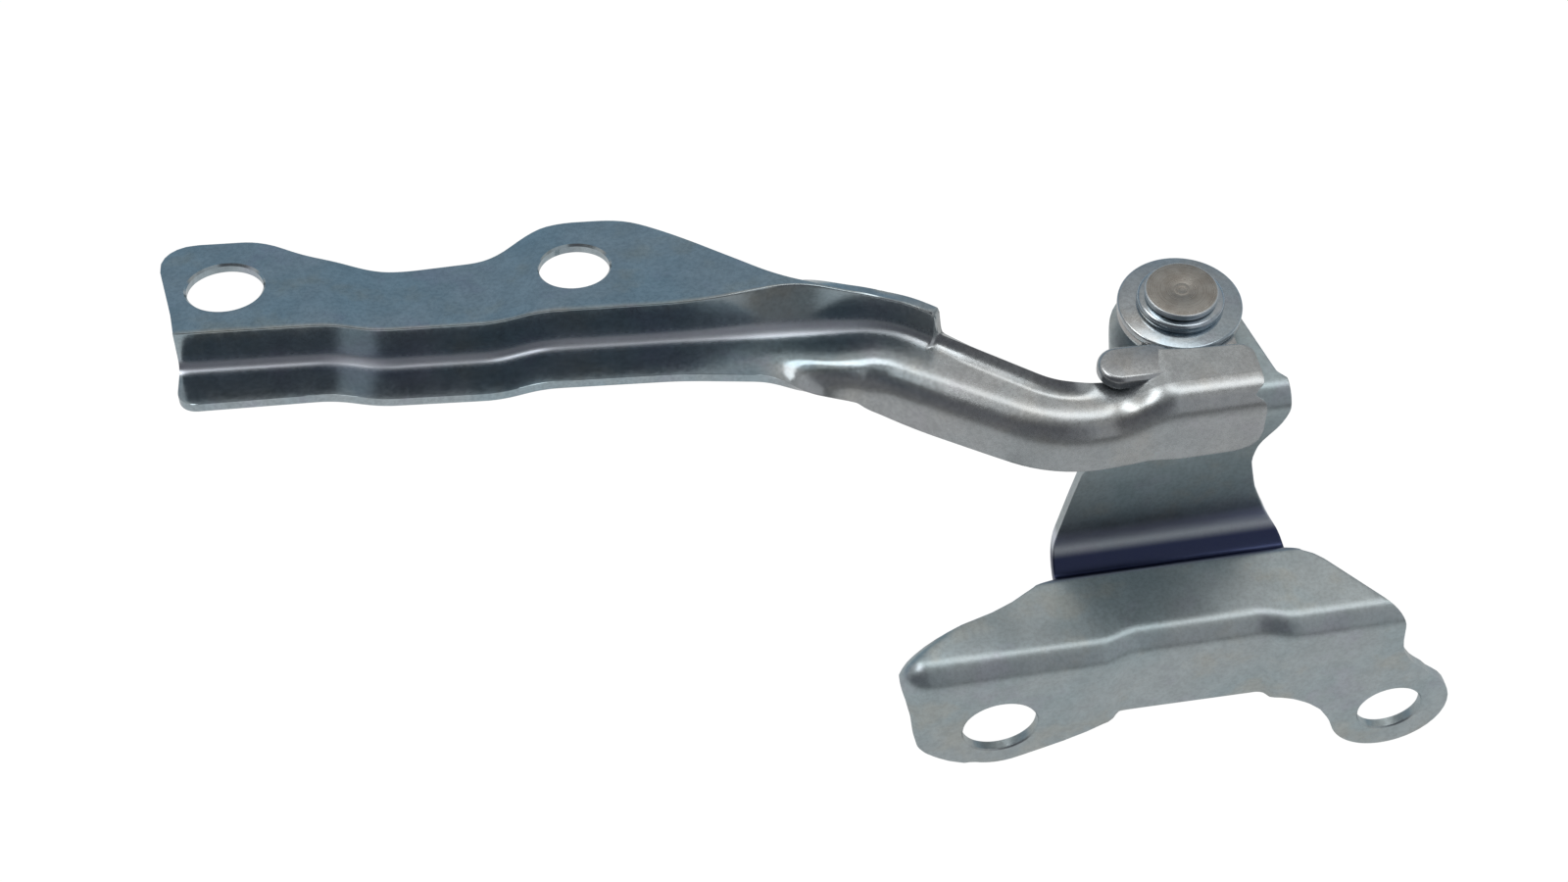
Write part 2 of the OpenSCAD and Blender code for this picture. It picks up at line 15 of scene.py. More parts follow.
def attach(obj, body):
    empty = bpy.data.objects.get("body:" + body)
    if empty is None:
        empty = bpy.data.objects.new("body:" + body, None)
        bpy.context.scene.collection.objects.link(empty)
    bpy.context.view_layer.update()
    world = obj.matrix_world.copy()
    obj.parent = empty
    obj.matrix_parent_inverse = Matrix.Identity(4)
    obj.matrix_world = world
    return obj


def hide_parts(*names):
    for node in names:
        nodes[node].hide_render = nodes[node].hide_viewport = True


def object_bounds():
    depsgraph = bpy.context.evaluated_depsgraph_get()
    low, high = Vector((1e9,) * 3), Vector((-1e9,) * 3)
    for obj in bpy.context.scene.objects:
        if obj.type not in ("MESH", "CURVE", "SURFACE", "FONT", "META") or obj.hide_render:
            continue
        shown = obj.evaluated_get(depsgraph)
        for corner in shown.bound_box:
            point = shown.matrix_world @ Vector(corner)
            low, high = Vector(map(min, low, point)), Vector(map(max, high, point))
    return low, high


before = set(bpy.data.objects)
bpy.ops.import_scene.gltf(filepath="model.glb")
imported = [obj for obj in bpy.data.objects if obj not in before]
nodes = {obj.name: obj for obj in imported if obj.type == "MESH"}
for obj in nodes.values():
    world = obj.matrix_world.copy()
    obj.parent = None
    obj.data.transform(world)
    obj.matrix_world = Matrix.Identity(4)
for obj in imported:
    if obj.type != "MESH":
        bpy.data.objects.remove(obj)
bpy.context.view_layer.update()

MM = 0.001
# The pivot's place in the frame: the pin's axis, at the top of the large washer
PIVOT = np.array([45.0, 51.0, 68.0])
scene = bpy.context.scene
scene.view_settings.view_transform = "Standard"

# %% [markdown]
# ## The camera
# The photograph's camera was worked out from things that are truly round: the washer and the bolt
# holes. It looks down at 50 degrees to the plane of the washers, from a little to the left. We place
# it by those angles, aimed so that the pivot falls on its own spot in the picture.

# %% Camera
ELEVATION = math.radians(49.7)
AZIMUTH = math.radians(-9.6)
ROLL = math.radians(-0.2)
FOCAL_PX = 3035.0
DEPTH = 607.0
PIVOT_PX = (1204.0, 308.5)
PICTURE = (1600.0, 900.0)

out = np.array([math.sin(AZIMUTH) * math.cos(ELEVATION), -math.cos(AZIMUTH) * math.cos(ELEVATION),
                math.sin(ELEVATION)])
flat_right = np.array([math.cos(AZIMUTH), math.sin(AZIMUTH), 0.0])
flat_up = np.cross(out, flat_right)
right = math.cos(ROLL) * flat_right + math.sin(ROLL) * flat_up
up = math.cos(ROLL) * flat_up - math.sin(ROLL) * flat_right
ray_x = (PIVOT_PX[0] - PICTURE[0] / 2) / FOCAL_PX
ray_y = (PICTURE[1] / 2 - PIVOT_PX[1]) / FOCAL_PX
eye = PIVOT - DEPTH * (ray_x * right + ray_y * up - out)

camera_data = bpy.data.cameras.new("camera")
camera_data.sensor_fit = "HORIZONTAL"
camera_data.sensor_width = 36.0
camera_data.lens = 36.0 * FOCAL_PX / PICTURE[0]
camera_data.clip_start = 0.01
camera_data.clip_end = 20.0
camera = bpy.data.objects.new("camera", camera_data)
scene.collection.objects.link(camera)
camera.matrix_world = Matrix([[right[i], up[i], out[i], eye[i] * MM] for i in range(3)] + [[0, 0, 0, 1]])
scene.camera = camera
print("camera at", [round(v, 1) for v in eye], "mm")

# %% [markdown]
# ## Helpers for modelling by hand
# Operators act on whatever is selected, so each piece starts with nothing selected. `added` returns
# the piece that an operator has just made, under its own name.

# %% Helpers
def nothing_selected():
    if bpy.context.mode != "OBJECT":
        bpy.ops.object.mode_set(mode="OBJECT")
    bpy.ops.object.select_all(action="DESELECT")


def added(name):
    piece = bpy.context.active_object
    piece.name = name
    piece.data.name = name
    return piece


def only(piece):
    nothing_selected()
    piece.select_set(True)
    bpy.context.view_layer.objects.active = piece


def apply_modifier(piece, kind, **settings):
    only(piece)
    modifier = piece.modifiers.new(kind.lower(), kind)
    for key, value in settings.items():
        setattr(modifier, key, value)
    bpy.ops.object.modifier_apply(modifier=modifier.name)


def smooth(piece, degrees=38):
    only(piece)
    bpy.ops.object.shade_smooth_by_angle(angle=math.radians(degrees))


def settle(piece):
    only(piece)
    bpy.ops.object.transform_apply(location=True, rotation=True, scale=True)


def outward(piece):
    only(piece)
    bpy.ops.object.mode_set(mode="EDIT")
    bpy.ops.mesh.select_all(action="SELECT")
    bpy.ops.mesh.remove_doubles(threshold=1e-6)
    bpy.ops.mesh.normals_make_consistent(inside=False)
    bpy.ops.object.mode_set(mode="OBJECT")


def from_table(u, table, reach=0.0):
    """A value read from a short table, with its corners rounded over reach on either side."""
    xs = [row[0] for row in table]
    ys = [row[1] for row in table]
    if reach == 0.0:
        return float(np.interp(u, xs, ys))
    return float(np.mean(np.interp(u + reach * np.linspace(-1, 1, 9), xs, ys)))


# %% [markdown]
# ## Pressing a blank
# Both sheets are made the way a press makes them. A flat grid is the blank; a forming function says
# where each point of the blank ends up; Solidify then gives the sheet its gauge, and one level of
# subdivision with creased rims leaves the softly broken edges that a stamped part has.

# %% Press a blank
RIM_CREASE = 0.75


def press(name, rows, columns, form, gauge, back=None):
    nothing_selected()
    bpy.ops.mesh.primitive_grid_add(x_subdivisions=columns - 1, y_subdivisions=rows - 1, size=1.0)
    blank = added(name)
    flat = [(round((v.co.y + 0.5) * (rows - 1)), round((v.co.x + 0.5) * (columns - 1)))
            for v in blank.data.vertices]
    for vertex, (row, column) in zip(blank.data.vertices, flat):
        vertex.co = Vector((np.array(form(row, column)) + PIVOT) * MM)
    blank.data.update()
    if sum(face.normal.z * face.area for face in blank.data.polygons) < 0:
        only(blank)
        bpy.ops.object.mode_set(mode="EDIT")
        bpy.ops.mesh.select_all(action="SELECT")
        bpy.ops.mesh.flip_normals()
        bpy.ops.object.mode_set(mode="OBJECT")
    apply_modifier(blank, "SOLIDIFY", thickness=gauge * MM, offset=-1.0, edge_crease_rim=RIM_CREASE,
                   edge_crease_outer=RIM_CREASE, edge_crease_inner=RIM_CREASE)
    if back:
        # Solidify lists the front's points first and then their copies on the back, in the same order
        for vertex, (row, column) in zip(blank.data.vertices[len(flat):], flat):
            vertex.co = Vector((np.array(back(row, column)) + PIVOT) * MM)
    apply_modifier(blank, "SUBSURF", levels=1, render_levels=1)
    print(name, len(blank.data.polygons), "faces")
    return blank


# %% [markdown]
# ## The bonnet arm
# The arm is one sheet with a Z section: a web, a riser and a flange with two holes. Past the second
# hole the flange dies out and the riser is left as a wall; the neck turns towards the bracket with a
# flange bent down from its near edge, and rises into the pad beside the pivot. We describe the
# section by five corners, and look up each length and slope along a spine that follows the foot of
# the riser.

# %% Spine of the arm
# Lengths are in mm and angles in degrees; u is the distance along the spine
ARM_GAUGE = 2.0
EYE_TOP = -1.6
BEAM_RUN = 141.0
BEAM_ANGLE = 5.0
NECK_TURN = 34.0
NECK_R1 = 22.0
NECK_RUN = 26.5
NECK_R2 = 20.0
PAD_WEB = 9.0
PAD_FRONT = 29.3
PAD_END = 10.5
PAD_LENGTH = 32.3
U_ARC1 = BEAM_RUN
U_NECK = U_ARC1 + math.radians(NECK_TURN) * NECK_R1
U_ARC2 = U_NECK + NECK_RUN
U_PAD = U_ARC2 + math.radians(NECK_TURN + BEAM_ANGLE) * NECK_R2
U_END = U_PAD + PAD_LENGTH
U_CUT = U_NECK + 3.4
U_CUT_END = U_CUT + 0.6


def heading(u):
    """Direction of the spine, in radians."""
    a = -BEAM_ANGLE
    a -= math.degrees(min(max(u - U_ARC1, 0.0), U_NECK - U_ARC1) / NECK_R1)
    a += math.degrees(min(max(u - U_ARC2, 0.0), U_PAD - U_ARC2) / NECK_R2)
    return math.radians(a)


SPINE_STEP = 0.25
spine_u = np.arange(-3.0, U_END + 3.0, SPINE_STEP)
spine_dir = np.array([[math.cos(heading(u + SPINE_STEP / 2)), math.sin(heading(u + SPINE_STEP / 2))]
                      for u in spine_u])
spine_xy = np.vstack([[0.0, 0.0], np.cumsum(spine_dir[:-1] * SPINE_STEP, axis=0)])
end_xy = [np.interp(U_END, spine_u, spine_xy[:, k]) for k in range(2)]
spine_xy += np.array([PAD_END, PAD_WEB - PAD_FRONT]) - end_xy


def spine(u):
    """Place of the spine, as x and y from the pivot."""
    return np.array([np.interp(u, spine_u, spine_xy[:, 0]), np.interp(u, spine_u, spine_xy[:, 1])])


# %% Section of the arm
FLANGE_W = 29.9
WAIST_W = 19.0
RISER_H = 9.7
RISER_FOOT = 0.8
RISER_TOP = 1.3
FLANGE_FALL = 10.0
BEAD = 2.6
PAD_RISE = 4.2
LIP = 2.4
WALL_TOP = 7.6
WEB_LIFT = 0.55
U_WALL = 128.0
SOFT = 4.0
CUT_REACH = 8.0
CUT_SOFT = 0.05
FLANGE_RIM = 0.4
WASHER_SIDE_SOFT = 2.0
LEVEL_SOFT = 3.0

# Each table reads: distance along the spine, then the value there, in mm or degrees
flange_table = [(0, FLANGE_W), (21.5, FLANGE_W), (30.5, 23.6), (39, WAIST_W + 1.6), (49, WAIST_W),
                (68, WAIST_W + 2), (76, FLANGE_W - 2.5), (81.5, FLANGE_W), (95, FLANGE_W),
                (99, FLANGE_W - 1.6), (108, 22.0), (118, 12.2), (126, 3.6), (U_WALL + 1, 2.0),
                (U_WALL + 4, 1.0), (U_WALL + 9, FLANGE_RIM), (U_PAD + 6, FLANGE_RIM), (U_PAD + 11, 4.0),
                (U_END, 4.0)]
flange_dir_table = [(0, -FLANGE_FALL), (U_WALL + 4, -FLANGE_FALL), (U_CUT, 40), (U_CUT_END, 42),
                    (U_PAD - 5, 42), (U_PAD + 4, 0), (U_PAD + 10, -84), (U_END, -84)]
top_back_table = [(0, RISER_TOP), (106, RISER_TOP), (113, 2.0), (118, 2.9), (123, 3.9), (U_WALL, 4.6),
                  (131, 4.3), (134, 3.3), (138, 2.1), (142, 1.5), (U_CUT, RISER_TOP),
                  (U_CUT_END, 1.8), (U_PAD - 5, 1.8), (U_PAD + 4, LIP)]
top_height_table = [(0, RISER_H), (123, RISER_H), (U_WALL, 9.8), (134, 10.0), (138, 9.6), (142, 8.8),
                    (147, WALL_TOP), (U_CUT, WALL_TOP), (U_CUT_END, 1.6), (U_PAD - 5, 1.6),
                    (U_PAD + 4, 0)]
foot_table = [(0, RISER_FOOT), (U_CUT, RISER_FOOT), (U_CUT + 8, 0)]
down_dir_table = [(0, -5), (U_ARC1 - 16, -5), (U_ARC1 - 10, 50), (U_ARC1 - 4, 86), (U_END, 90)]
down_table = [(0, 4.0), (U_ARC1 - 16, 4.0), (U_ARC1 - 6, 5.6), (U_ARC1, 8.0), (U_ARC1 + 6, 9.6),
              (U_NECK, 10.4), (U_NECK + 8, 11.3), (U_ARC2 + 4, 11.6), (U_PAD + 6, 12.4),
              (U_PAD + 12, 16.4), (U_END, 16.4)]
web_table = [(0, 6.2), (39, 5.4), (68, 5.8), (106, 6.1), (U_ARC1 - 16, 8.0), (U_ARC1 - 8, 11.2),
             (U_ARC1 - 2, 13.0), (U_ARC1 + 4, 13.4), (U_NECK, 12.8), (U_ARC2, 10.6), (U_PAD, PAD_WEB),
             (U_END, PAD_WEB)]
lift_table = [(0, WEB_LIFT), (U_ARC1 - 10, WEB_LIFT), (U_NECK, 0)]
level_table = [(0, 0), (36, 0), (45, -BEAD), (69, -BEAD), (78, 0), (U_PAD + 4, 0),
               (U_PAD + 11, PAD_RISE), (U_END, PAD_RISE)]
# The pad's edge beside the washer, as x and y from the pivot
pad_edge_table = [(-24, -12.2), (-12, -12.8), (-6, -14.2), (0, -14.8), (8, -15.2), (12, -15.5)]


def pad_reach(u):
    """How far the pad runs back from the spine, to its edge beside the washer."""
    x, y = spine(u)
    return from_table(x, pad_edge_table, WASHER_SIDE_SOFT) - y


def section_corners(u):
    """Far edge, top of the riser, foot of the riser, near edge of the web, low edge of the down flange."""
    # Bends are soft along the arm, but not where the wall is cut off square
    near_cut = min(1.0, max(CUT_SOFT, abs(u - (U_CUT + U_CUT_END) / 2) / CUT_REACH))
    soft = SOFT * near_cut
    brisk = soft / 2
    top = np.array([from_table(u, top_back_table, soft), from_table(u, top_height_table, brisk)])
    if u > U_PAD + 3:
        blend = min(1.0, (u - U_PAD - 3) / 8.0)
        top[0] = (1 - blend) * LIP + blend * pad_reach(u)
    flange = from_table(u, flange_table, soft)
    flange_dir = math.radians(from_table(u, flange_dir_table, brisk))
    down = from_table(u, down_table, SOFT)
    down_dir = math.radians(from_table(u, down_dir_table, SOFT))
    web = from_table(u, web_table, SOFT)
    foot = np.array([from_table(u, foot_table), 0.0])
    far = top + flange * np.array([math.cos(flange_dir), math.sin(flange_dir)])
    near = np.array([-web, from_table(u, lift_table, SOFT)])
    low = near - down * np.array([math.cos(down_dir), math.sin(down_dir)])
    return [far, top, foot, near, low]


def rounded(p, k, size, share, steps):
    """Corner k of the section, rounded by a curve that leaves each side at the same distance."""
    before = p[k - 1] - p[k]
    after = p[k + 1] - p[k]
    cut = min(size, share * np.linalg.norm(before), share * np.linalg.norm(after))
    e0 = before / np.linalg.norm(before)
    e1 = after / np.linalg.norm(after)
    if steps == 3:
        # A sharp corner keeps its own point
        return [p[k] + cut * e0, p[k], p[k] + cut * e1]
    return [p[k] + cut * ((1 - t) ** 2 * e0 + t ** 2 * e1) for t in np.linspace(0, 1, steps)]


# Where points lie along each side of the section, and each corner's size, share of its sides and points
flange_marks = [0.0, 0.012, 0.04, 0.08, 0.13, 0.2, 0.3, 0.44, 0.6, 0.8]
web_marks = [0.3, 0.6]
down_marks = [0.25, 0.5, 0.75, 0.92, 1.0]
riser_marks = [0.12, 0.5]
MITRE_LIMIT = 0.64
CORNERS = {1: (0.35, 0.40, 3), 2: (2.6, 0.60, 9), 3: (6.2, 0.68, 9)}


def section_points(u):
    """The section's outer face, from the flange's far edge to the down flange's low edge."""
    p = section_corners(u)
    c1, c2, c3 = [rounded(p, k, *CORNERS[k]) for k in (1, 2, 3)]
    points = [p[0] + m * (c1[0] - p[0]) for m in flange_marks] + c1
    points += [c1[-1] + m * (c2[0] - c1[-1]) for m in riser_marks] + c2
    points += [c2[-1] + m * (c3[0] - c2[-1]) for m in web_marks] + c3
    points += [c3[-1] + m * (p[4] - c3[-1]) for m in down_marks]
    return points


def section_back(u):
    """The section's points carried through the sheet; the sharp corner keeps one place on the inside."""
    front = np.array(section_points(u))
    step = np.diff(front, axis=0)
    step = np.vstack([step[:1], step, step[-1:]])
    size = np.maximum(np.linalg.norm(step, axis=1), 1e-9)[:, None]
    normal = np.stack([step[:, 1], -step[:, 0]], 1) / size
    bisector = normal[:-1] + normal[1:]
    bisector /= np.maximum(np.linalg.norm(bisector, axis=1), 1e-6)[:, None]
    stretch = 1.0 / np.maximum((bisector * normal[1:]).sum(1), MITRE_LIMIT)
    back = front - ARM_GAUGE * stretch[:, None] * bisector
    # Where the flange is shorter than the sheet is thick, its inside turns with the riser
    knot = len(flange_marks) + 1
    wide = min(1.0, np.linalg.norm(front[0] - front[knot]) / (2 * ARM_GAUGE))
    riser_side = normal[knot + 2]
    flange_side = wide * normal[0] + (1 - wide) * riser_side
    flange_side /= np.linalg.norm(flange_side)
    mitre = wide * back[knot] + (1 - wide) * (front[knot] - ARM_GAUGE * riser_side)
    rim = front[0] - ARM_GAUGE * flange_side
    for column, mark in enumerate(flange_marks + [0.99, 1.0]):
        back[column] = rim + mark * (mitre - rim)
    fillet = knot + 2 + len(riser_marks)
    for column, mark in enumerate([0.03] + riser_marks, knot + 1):
        back[column] = mitre + mark * (back[fillet] - mitre)
    return back


SECTION_COUNT = len(section_points(10.0))
print("section of", SECTION_COUNT, "points, spine of", round(U_END, 1), "mm")

# %% Ends of the arm
TIP_SLANT = 5.2
TIP_OVER = -0.8
TIP_R = 9.0
WEB_TIP_R = 4.0
LOW_R = 5.0
NOTCH = 2.4
NOTCH_COLUMNS = 1.3
LEFT_BLEND = 24.0
RIGHT_BLEND = 12.0
PAD_R = 3.0
corner1_at = len(flange_marks)
corner2_at = corner1_at + CORNERS[1][2] + len(riser_marks)
web_at = corner2_at + CORNERS[2][2]
corner3_at = web_at + len(web_marks)
down_at = corner3_at + CORNERS[3][2]


def round_off(distance, radius):
    """How far a round corner steps back, at a distance from the edge it meets."""
    if distance >= radius:
        return 0.0
    return radius - math.sqrt(radius ** 2 - (radius - distance) ** 2)


def end_shift(column, left):
    """How far a column of the blank starts or stops past the square end."""
    p = section_points(10.0 if left else U_END)
    if left:
        far = np.linalg.norm(p[column] - p[0])
        if column < corner2_at:
            share = min(1.0, max(0.0, far / (FLANGE_W - 2)))
            return TIP_OVER + (TIP_SLANT - TIP_OVER) * share + round_off(far, TIP_R)
        low = np.linalg.norm(p[column] - p[-1])
        return TIP_SLANT + round_off(low, WEB_TIP_R)
    if column >= down_at:
        low = np.linalg.norm(p[column] - p[-1])
        return -round_off(low, LOW_R)
    middle = corner3_at + 0.5 * (CORNERS[3][2] - 1)
    edge = np.linalg.norm(p[column] - p[corner1_at + 1]) if column > corner1_at else 0.0
    return -NOTCH * math.exp(-((column - middle) / NOTCH_COLUMNS) ** 2) - round_off(edge, PAD_R)


left_shift = [end_shift(j, True) for j in range(SECTION_COUNT)]
right_shift = [end_shift(j, False) for j in range(SECTION_COUNT)]


def ease(t):
    t = min(1.0, max(0.0, t))
    return t * t * (3 - 2 * t)


arm_stations = np.unique(np.round(np.concatenate([
    np.linspace(0, 4, 5), np.linspace(6, 34, 15), np.linspace(35.5, 80, 31),
    np.linspace(82, U_CUT - 1.2, 44), [U_CUT - 0.3, U_CUT + 0.1, U_CUT + 0.5, U_CUT + 0.9],
    np.linspace(U_CUT + 2, U_PAD + 2, 26), np.linspace(U_PAD + 3, U_END - 6, 20),
    np.linspace(U_END - 4.8, U_END, 6)]), 3))


def arm_form(row, column, points=section_points):
    """Where a point of the arm's blank ends up."""
    column = SECTION_COUNT - 1 - column
    base = arm_stations[row]
    u = base + left_shift[column] * (1 - ease(base / LEFT_BLEND))
    u += right_shift[column] * ease((base - U_END + RIGHT_BLEND) / RIGHT_BLEND)
    q = points(u)[column]
    a = heading(u)
    o = spine(u)
    level = EYE_TOP + from_table(u, level_table, LEVEL_SOFT)
    return [o[0] - math.sin(a) * q[0], o[1] + math.cos(a) * q[0], level + q[1]]


arm = press("arm", len(arm_stations), SECTION_COUNT, arm_form, ARM_GAUGE,
            lambda row, column: arm_form(row, column, section_back))
outward(arm)

# %% [markdown]
# ## Turning and punching
# A turned shape is a circle extruded from point to point of its profile. Each hole is cut with a
# turned punch that flares by a little at either face of the sheet, so the hole is truly round and
# gets the broken rim that catches the light.

# %% Turned shapes
# The smallest circle that a solid profile starts or ends on
AXIS_R = 0.05


def turned(name, profile, ring, corners=128):
    """A circle extruded along a profile of radius and height; a ring's profile closes on itself."""
    nothing_selected()
    r0, z0 = profile[0]
    bpy.ops.mesh.primitive_circle_add(vertices=corners, radius=r0 * MM, location=(PIVOT + [0, 0, z0]) * MM)
    piece = added(name)
    bpy.ops.object.mode_set(mode="EDIT")
    bpy.ops.mesh.select_all(action="SELECT")
    r, z = r0, z0
    for r1, z1 in profile[1:] + ([profile[0]] if ring else []):
        bpy.ops.mesh.extrude_edges_move(TRANSFORM_OT_translate={"value": (0, 0, (z1 - z) * MM)})
        bpy.ops.transform.resize(value=(r1 / r, r1 / r, 1), center_override=(PIVOT + [0, 0, z1]) * MM)
        r, z = r1, z1
    bpy.ops.mesh.select_all(action="SELECT")
    bpy.ops.mesh.remove_doubles(threshold=1e-6)
    if not ring:
        bpy.ops.mesh.select_all(action="SELECT")
        bpy.ops.mesh.fill_holes(sides=0)
    bpy.ops.object.mode_set(mode="OBJECT")
    settle(piece)
    outward(piece)
    smooth(piece, 40)
    return piece


def soft_profile(r_in, r_out, low, high, edge):
    """A washer's profile with round edges, from the bore outwards and back."""
    inner = r_out - edge
    points = [(r_in, low), (inner, low)]
    for a in np.radians((30, 60, 90)):
        points.append((inner + edge * math.sin(a), low + edge - edge * math.cos(a)))
    for a in np.radians((0, 30, 60, 90)):
        points.append((inner + edge * math.cos(a), high - edge + edge * math.sin(a)))
    points.append((r_in, high))
    return points


# %% Punch
PUNCH_PAST = 1.0


def punch(piece, centre, axis, radius, depth, rim=0.3):
    """Cuts a round hole whose mouth is at centre; depth is the sheet's gauge along -axis."""
    flare = radius + rim + PUNCH_PAST
    profile = [(AXIS_R, -depth - PUNCH_PAST), (flare, -depth - PUNCH_PAST), (radius, -depth + rim),
               (radius, -rim), (flare, PUNCH_PAST), (AXIS_R, PUNCH_PAST)]
    cutter = turned("punch", profile, False)
    turn = Vector(axis).normalized().to_track_quat("Z", "Y").to_matrix().to_4x4()
    place = Vector((np.array(centre) + PIVOT) * MM)
    cutter.matrix_world = Matrix.Translation(place) @ turn @ Matrix.Translation(-Vector(PIVOT * MM))
    bpy.context.view_layer.update()
    apply_modifier(piece, "BOOLEAN", operation="DIFFERENCE", solver="EXACT", object=cutter)
    bpy.data.objects.remove(cutter)


# Each bonnet hole is given by its place along the spine and its diameter
BONNET_HOLES = ((14.6, 15.6), (85.4, 14.5))
HOLE_BACK = 15.4
HOLE_LINE = 0.5
beam_a = math.radians(-BEAM_ANGLE)
fall = math.radians(FLANGE_FALL)
flange_axis = [-math.sin(beam_a) * math.sin(fall), math.cos(beam_a) * math.sin(fall), math.cos(fall)]
q = np.array([HOLE_LINE + HOLE_BACK * math.cos(fall), RISER_H - HOLE_BACK * math.sin(fall)])
for along, diameter in BONNET_HOLES:
    o = spine(along)
    place = [o[0] - math.sin(beam_a) * q[0], o[1] + math.cos(beam_a) * q[0], EYE_TOP + q[1]]
    punch(arm, place, flange_axis, diameter / 2, ARM_GAUGE)
smooth(arm)
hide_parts("bonnet_arm")
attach(arm, "arm")
print("arm", len(arm.data.polygons), "faces")

# %% [markdown]
# ## Eye and finger of the arm
# The eye is the round plate under the large washer, with a wall on its front side up to the pad. The
# stop finger is a short tongue beside the pad, with well rounded edges. Both ride with the arm.

# %% Eye
BUSH_R = 6.05
EYE_R = 12.6
EYE_WALL = (12.0, 16.2)
EYE_EDGE = 0.3
RUNNING_GAP = 0.04
# The block that the eye's wall is trimmed to
KEEP_AT = [-0.5, -33.0, EYE_TOP - 1.0]
KEEP_SIZE = np.array([19.0, 50.0, 20.0])
eye_low = EYE_TOP - ARM_GAUGE
eye_face = EYE_TOP - RUNNING_GAP
eye_plate = turned("arm_eye", soft_profile(BUSH_R, EYE_R, eye_low, eye_face, EYE_EDGE), True)
eye_wall = turned("eye_wall", soft_profile(*EYE_WALL, eye_low, eye_face, EYE_EDGE), True)
nothing_selected()
bpy.ops.mesh.primitive_cube_add(size=1.0, location=(PIVOT + KEEP_AT) * MM)
keep_front = added("keep_front")
keep_front.scale = KEEP_SIZE * MM
settle(keep_front)
apply_modifier(eye_wall, "BOOLEAN", operation="INTERSECT", solver="EXACT", object=keep_front)
bpy.data.objects.remove(keep_front)
apply_modifier(eye_plate, "BOOLEAN", operation="UNION", solver="EXACT", object=eye_wall)
bpy.data.objects.remove(eye_wall)
smooth(eye_plate)

# %% Stop finger
FINGER_LEFT = -21.4
FINGER_RIGHT = -5.0
FINGER_Y = -16.3
FINGER_W = 9.4
FINGER_T = 3.3
FINGER_PROUD = 0.12
FINGER_SINK = 0.4
FINGER_EDGE = 1.1
finger_top = EYE_TOP + PAD_RISE + FINGER_PROUD
tip_middle = FINGER_LEFT + FINGER_W / 2
nothing_selected()
bpy.ops.mesh.primitive_circle_add(vertices=48, radius=FINGER_W / 2 * MM, fill_type="NGON",
                                  location=(PIVOT + [tip_middle, FINGER_Y, finger_top - FINGER_T]) * MM)
finger = added("stop_finger")
bpy.ops.object.mode_set(mode="EDIT")
bpy.ops.mesh.select_all(action="SELECT")
bpy.ops.mesh.extrude_region_move(TRANSFORM_OT_translate={"value": (0, 0, FINGER_T * MM)})
bpy.ops.object.mode_set(mode="OBJECT")
settle(finger)
# The round blank is drawn out towards the pad, where its far end dips just under the pad's face
middle_x = (PIVOT[0] + tip_middle) * MM
for vertex in finger.data.vertices:
    if vertex.co.x > middle_x + 1e-6:
        vertex.co.x += (FINGER_RIGHT - tip_middle - FINGER_W / 2) * MM
        vertex.co.z -= FINGER_SINK * MM
outward(finger)
apply_modifier(finger, "BEVEL", width=FINGER_EDGE * MM, segments=6, limit_method="ANGLE",
               angle_limit=math.radians(50))
smooth(finger)
for piece in (eye_plate, finger):
    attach(piece, "arm")

# %% [markdown]
# ## The body bracket
# The bracket is one sheet too. From the bottom up it runs: bolt flange, bend, shelf, a rolled crest,
# a valley, the wall, and the round lug under the pin. The blank's rows follow that path and its
# columns run across, so each row only needs its left and right end. The bolt flange is a patch
# between four drawn edges.

# %% Path of the bracket
BRACKET_GAUGE = 2.4
BEND_R = 5.0
FACE_Y = -51.0
LUG_TOP = -7.8
SHELF_Z = LUG_TOP - 40.0
WALL_Y = -22.0
VALLEY_R = 7.0
VALLEY_Y = WALL_Y - VALLEY_R
VALLEY_Z = -44.0
CREST_R = 2.5
SHELF_Y = -31.0
LUG_R = 13.8
PANEL = (-20.0, 13.0)
PANEL_STEP = 1.9
PANEL_SOFT = 4.0
PANEL_CRISP = 2.9
PANEL_FADE = 7.0
TURN_X = -60.4
CORNER_R = 5.8
CORNER_TURN = 78.0
WRAP_END = TURN_X - CORNER_R * math.radians(CORNER_TURN)
BEND_Z = SHELF_Z - BEND_R
FLANGE_RIGHT = 40.6
BEND_IN = 4.0
CREST_LEFT = -34.6
CREST_RIGHT = 23.2
CREST_RUN = 2.4
EDGE_SOFT = 1.5
LUG_SOFT = 1.0


def panel_in(x, soft=PANEL_SOFT):
    """How far the middle panel lies behind the bolt pads; its lines are crisp where soft is small."""
    left = ease((x - PANEL[0] + soft) / (2 * soft))
    right = ease((x - PANEL[1] + soft) / (2 * soft))
    return PANEL_STEP * left * (1 - right)


def arc_points(centre_1, centre_2, r, a0, a1, count):
    """Places round an arc, in whichever plane the two centre values are in."""
    return [(centre_1 + r * math.cos(math.radians(a)), centre_2 + r * math.sin(math.radians(a)))
            for a in np.linspace(a0, a1, count)]


# Rows above the bolt flange, as (part, y, z)
SHELF_ROWS = (-45.2, -44.2, -43.2, -42.2, -41.2, -40.2, -39.2, -38, -36, -34, -32.2)
LUG_ROWS = (-15, -12.5, -10, -7.5, -5, -2.5, 0, 2.5, 5, 7.2, 9.2, 10.8, 12, 12.9, 13.4, 13.7)
upper = [("bend", y, z) for y, z in arc_points(FACE_Y + BEND_R, SHELF_Z - BEND_R, BEND_R, 180, 90, 9)]
upper += [("shelf", y, SHELF_Z) for y in SHELF_ROWS]
upper += [("rise", y, z) for y, z in arc_points(SHELF_Y, SHELF_Z - CREST_R, CREST_R, 90, 8, 9)]
upper += [("rise", y, z) for y, z in arc_points(VALLEY_Y, VALLEY_Z, VALLEY_R, -75, 0, 14)]
upper += [("rise", WALL_Y, z) for z in np.linspace(-42, -14.5, 18)]
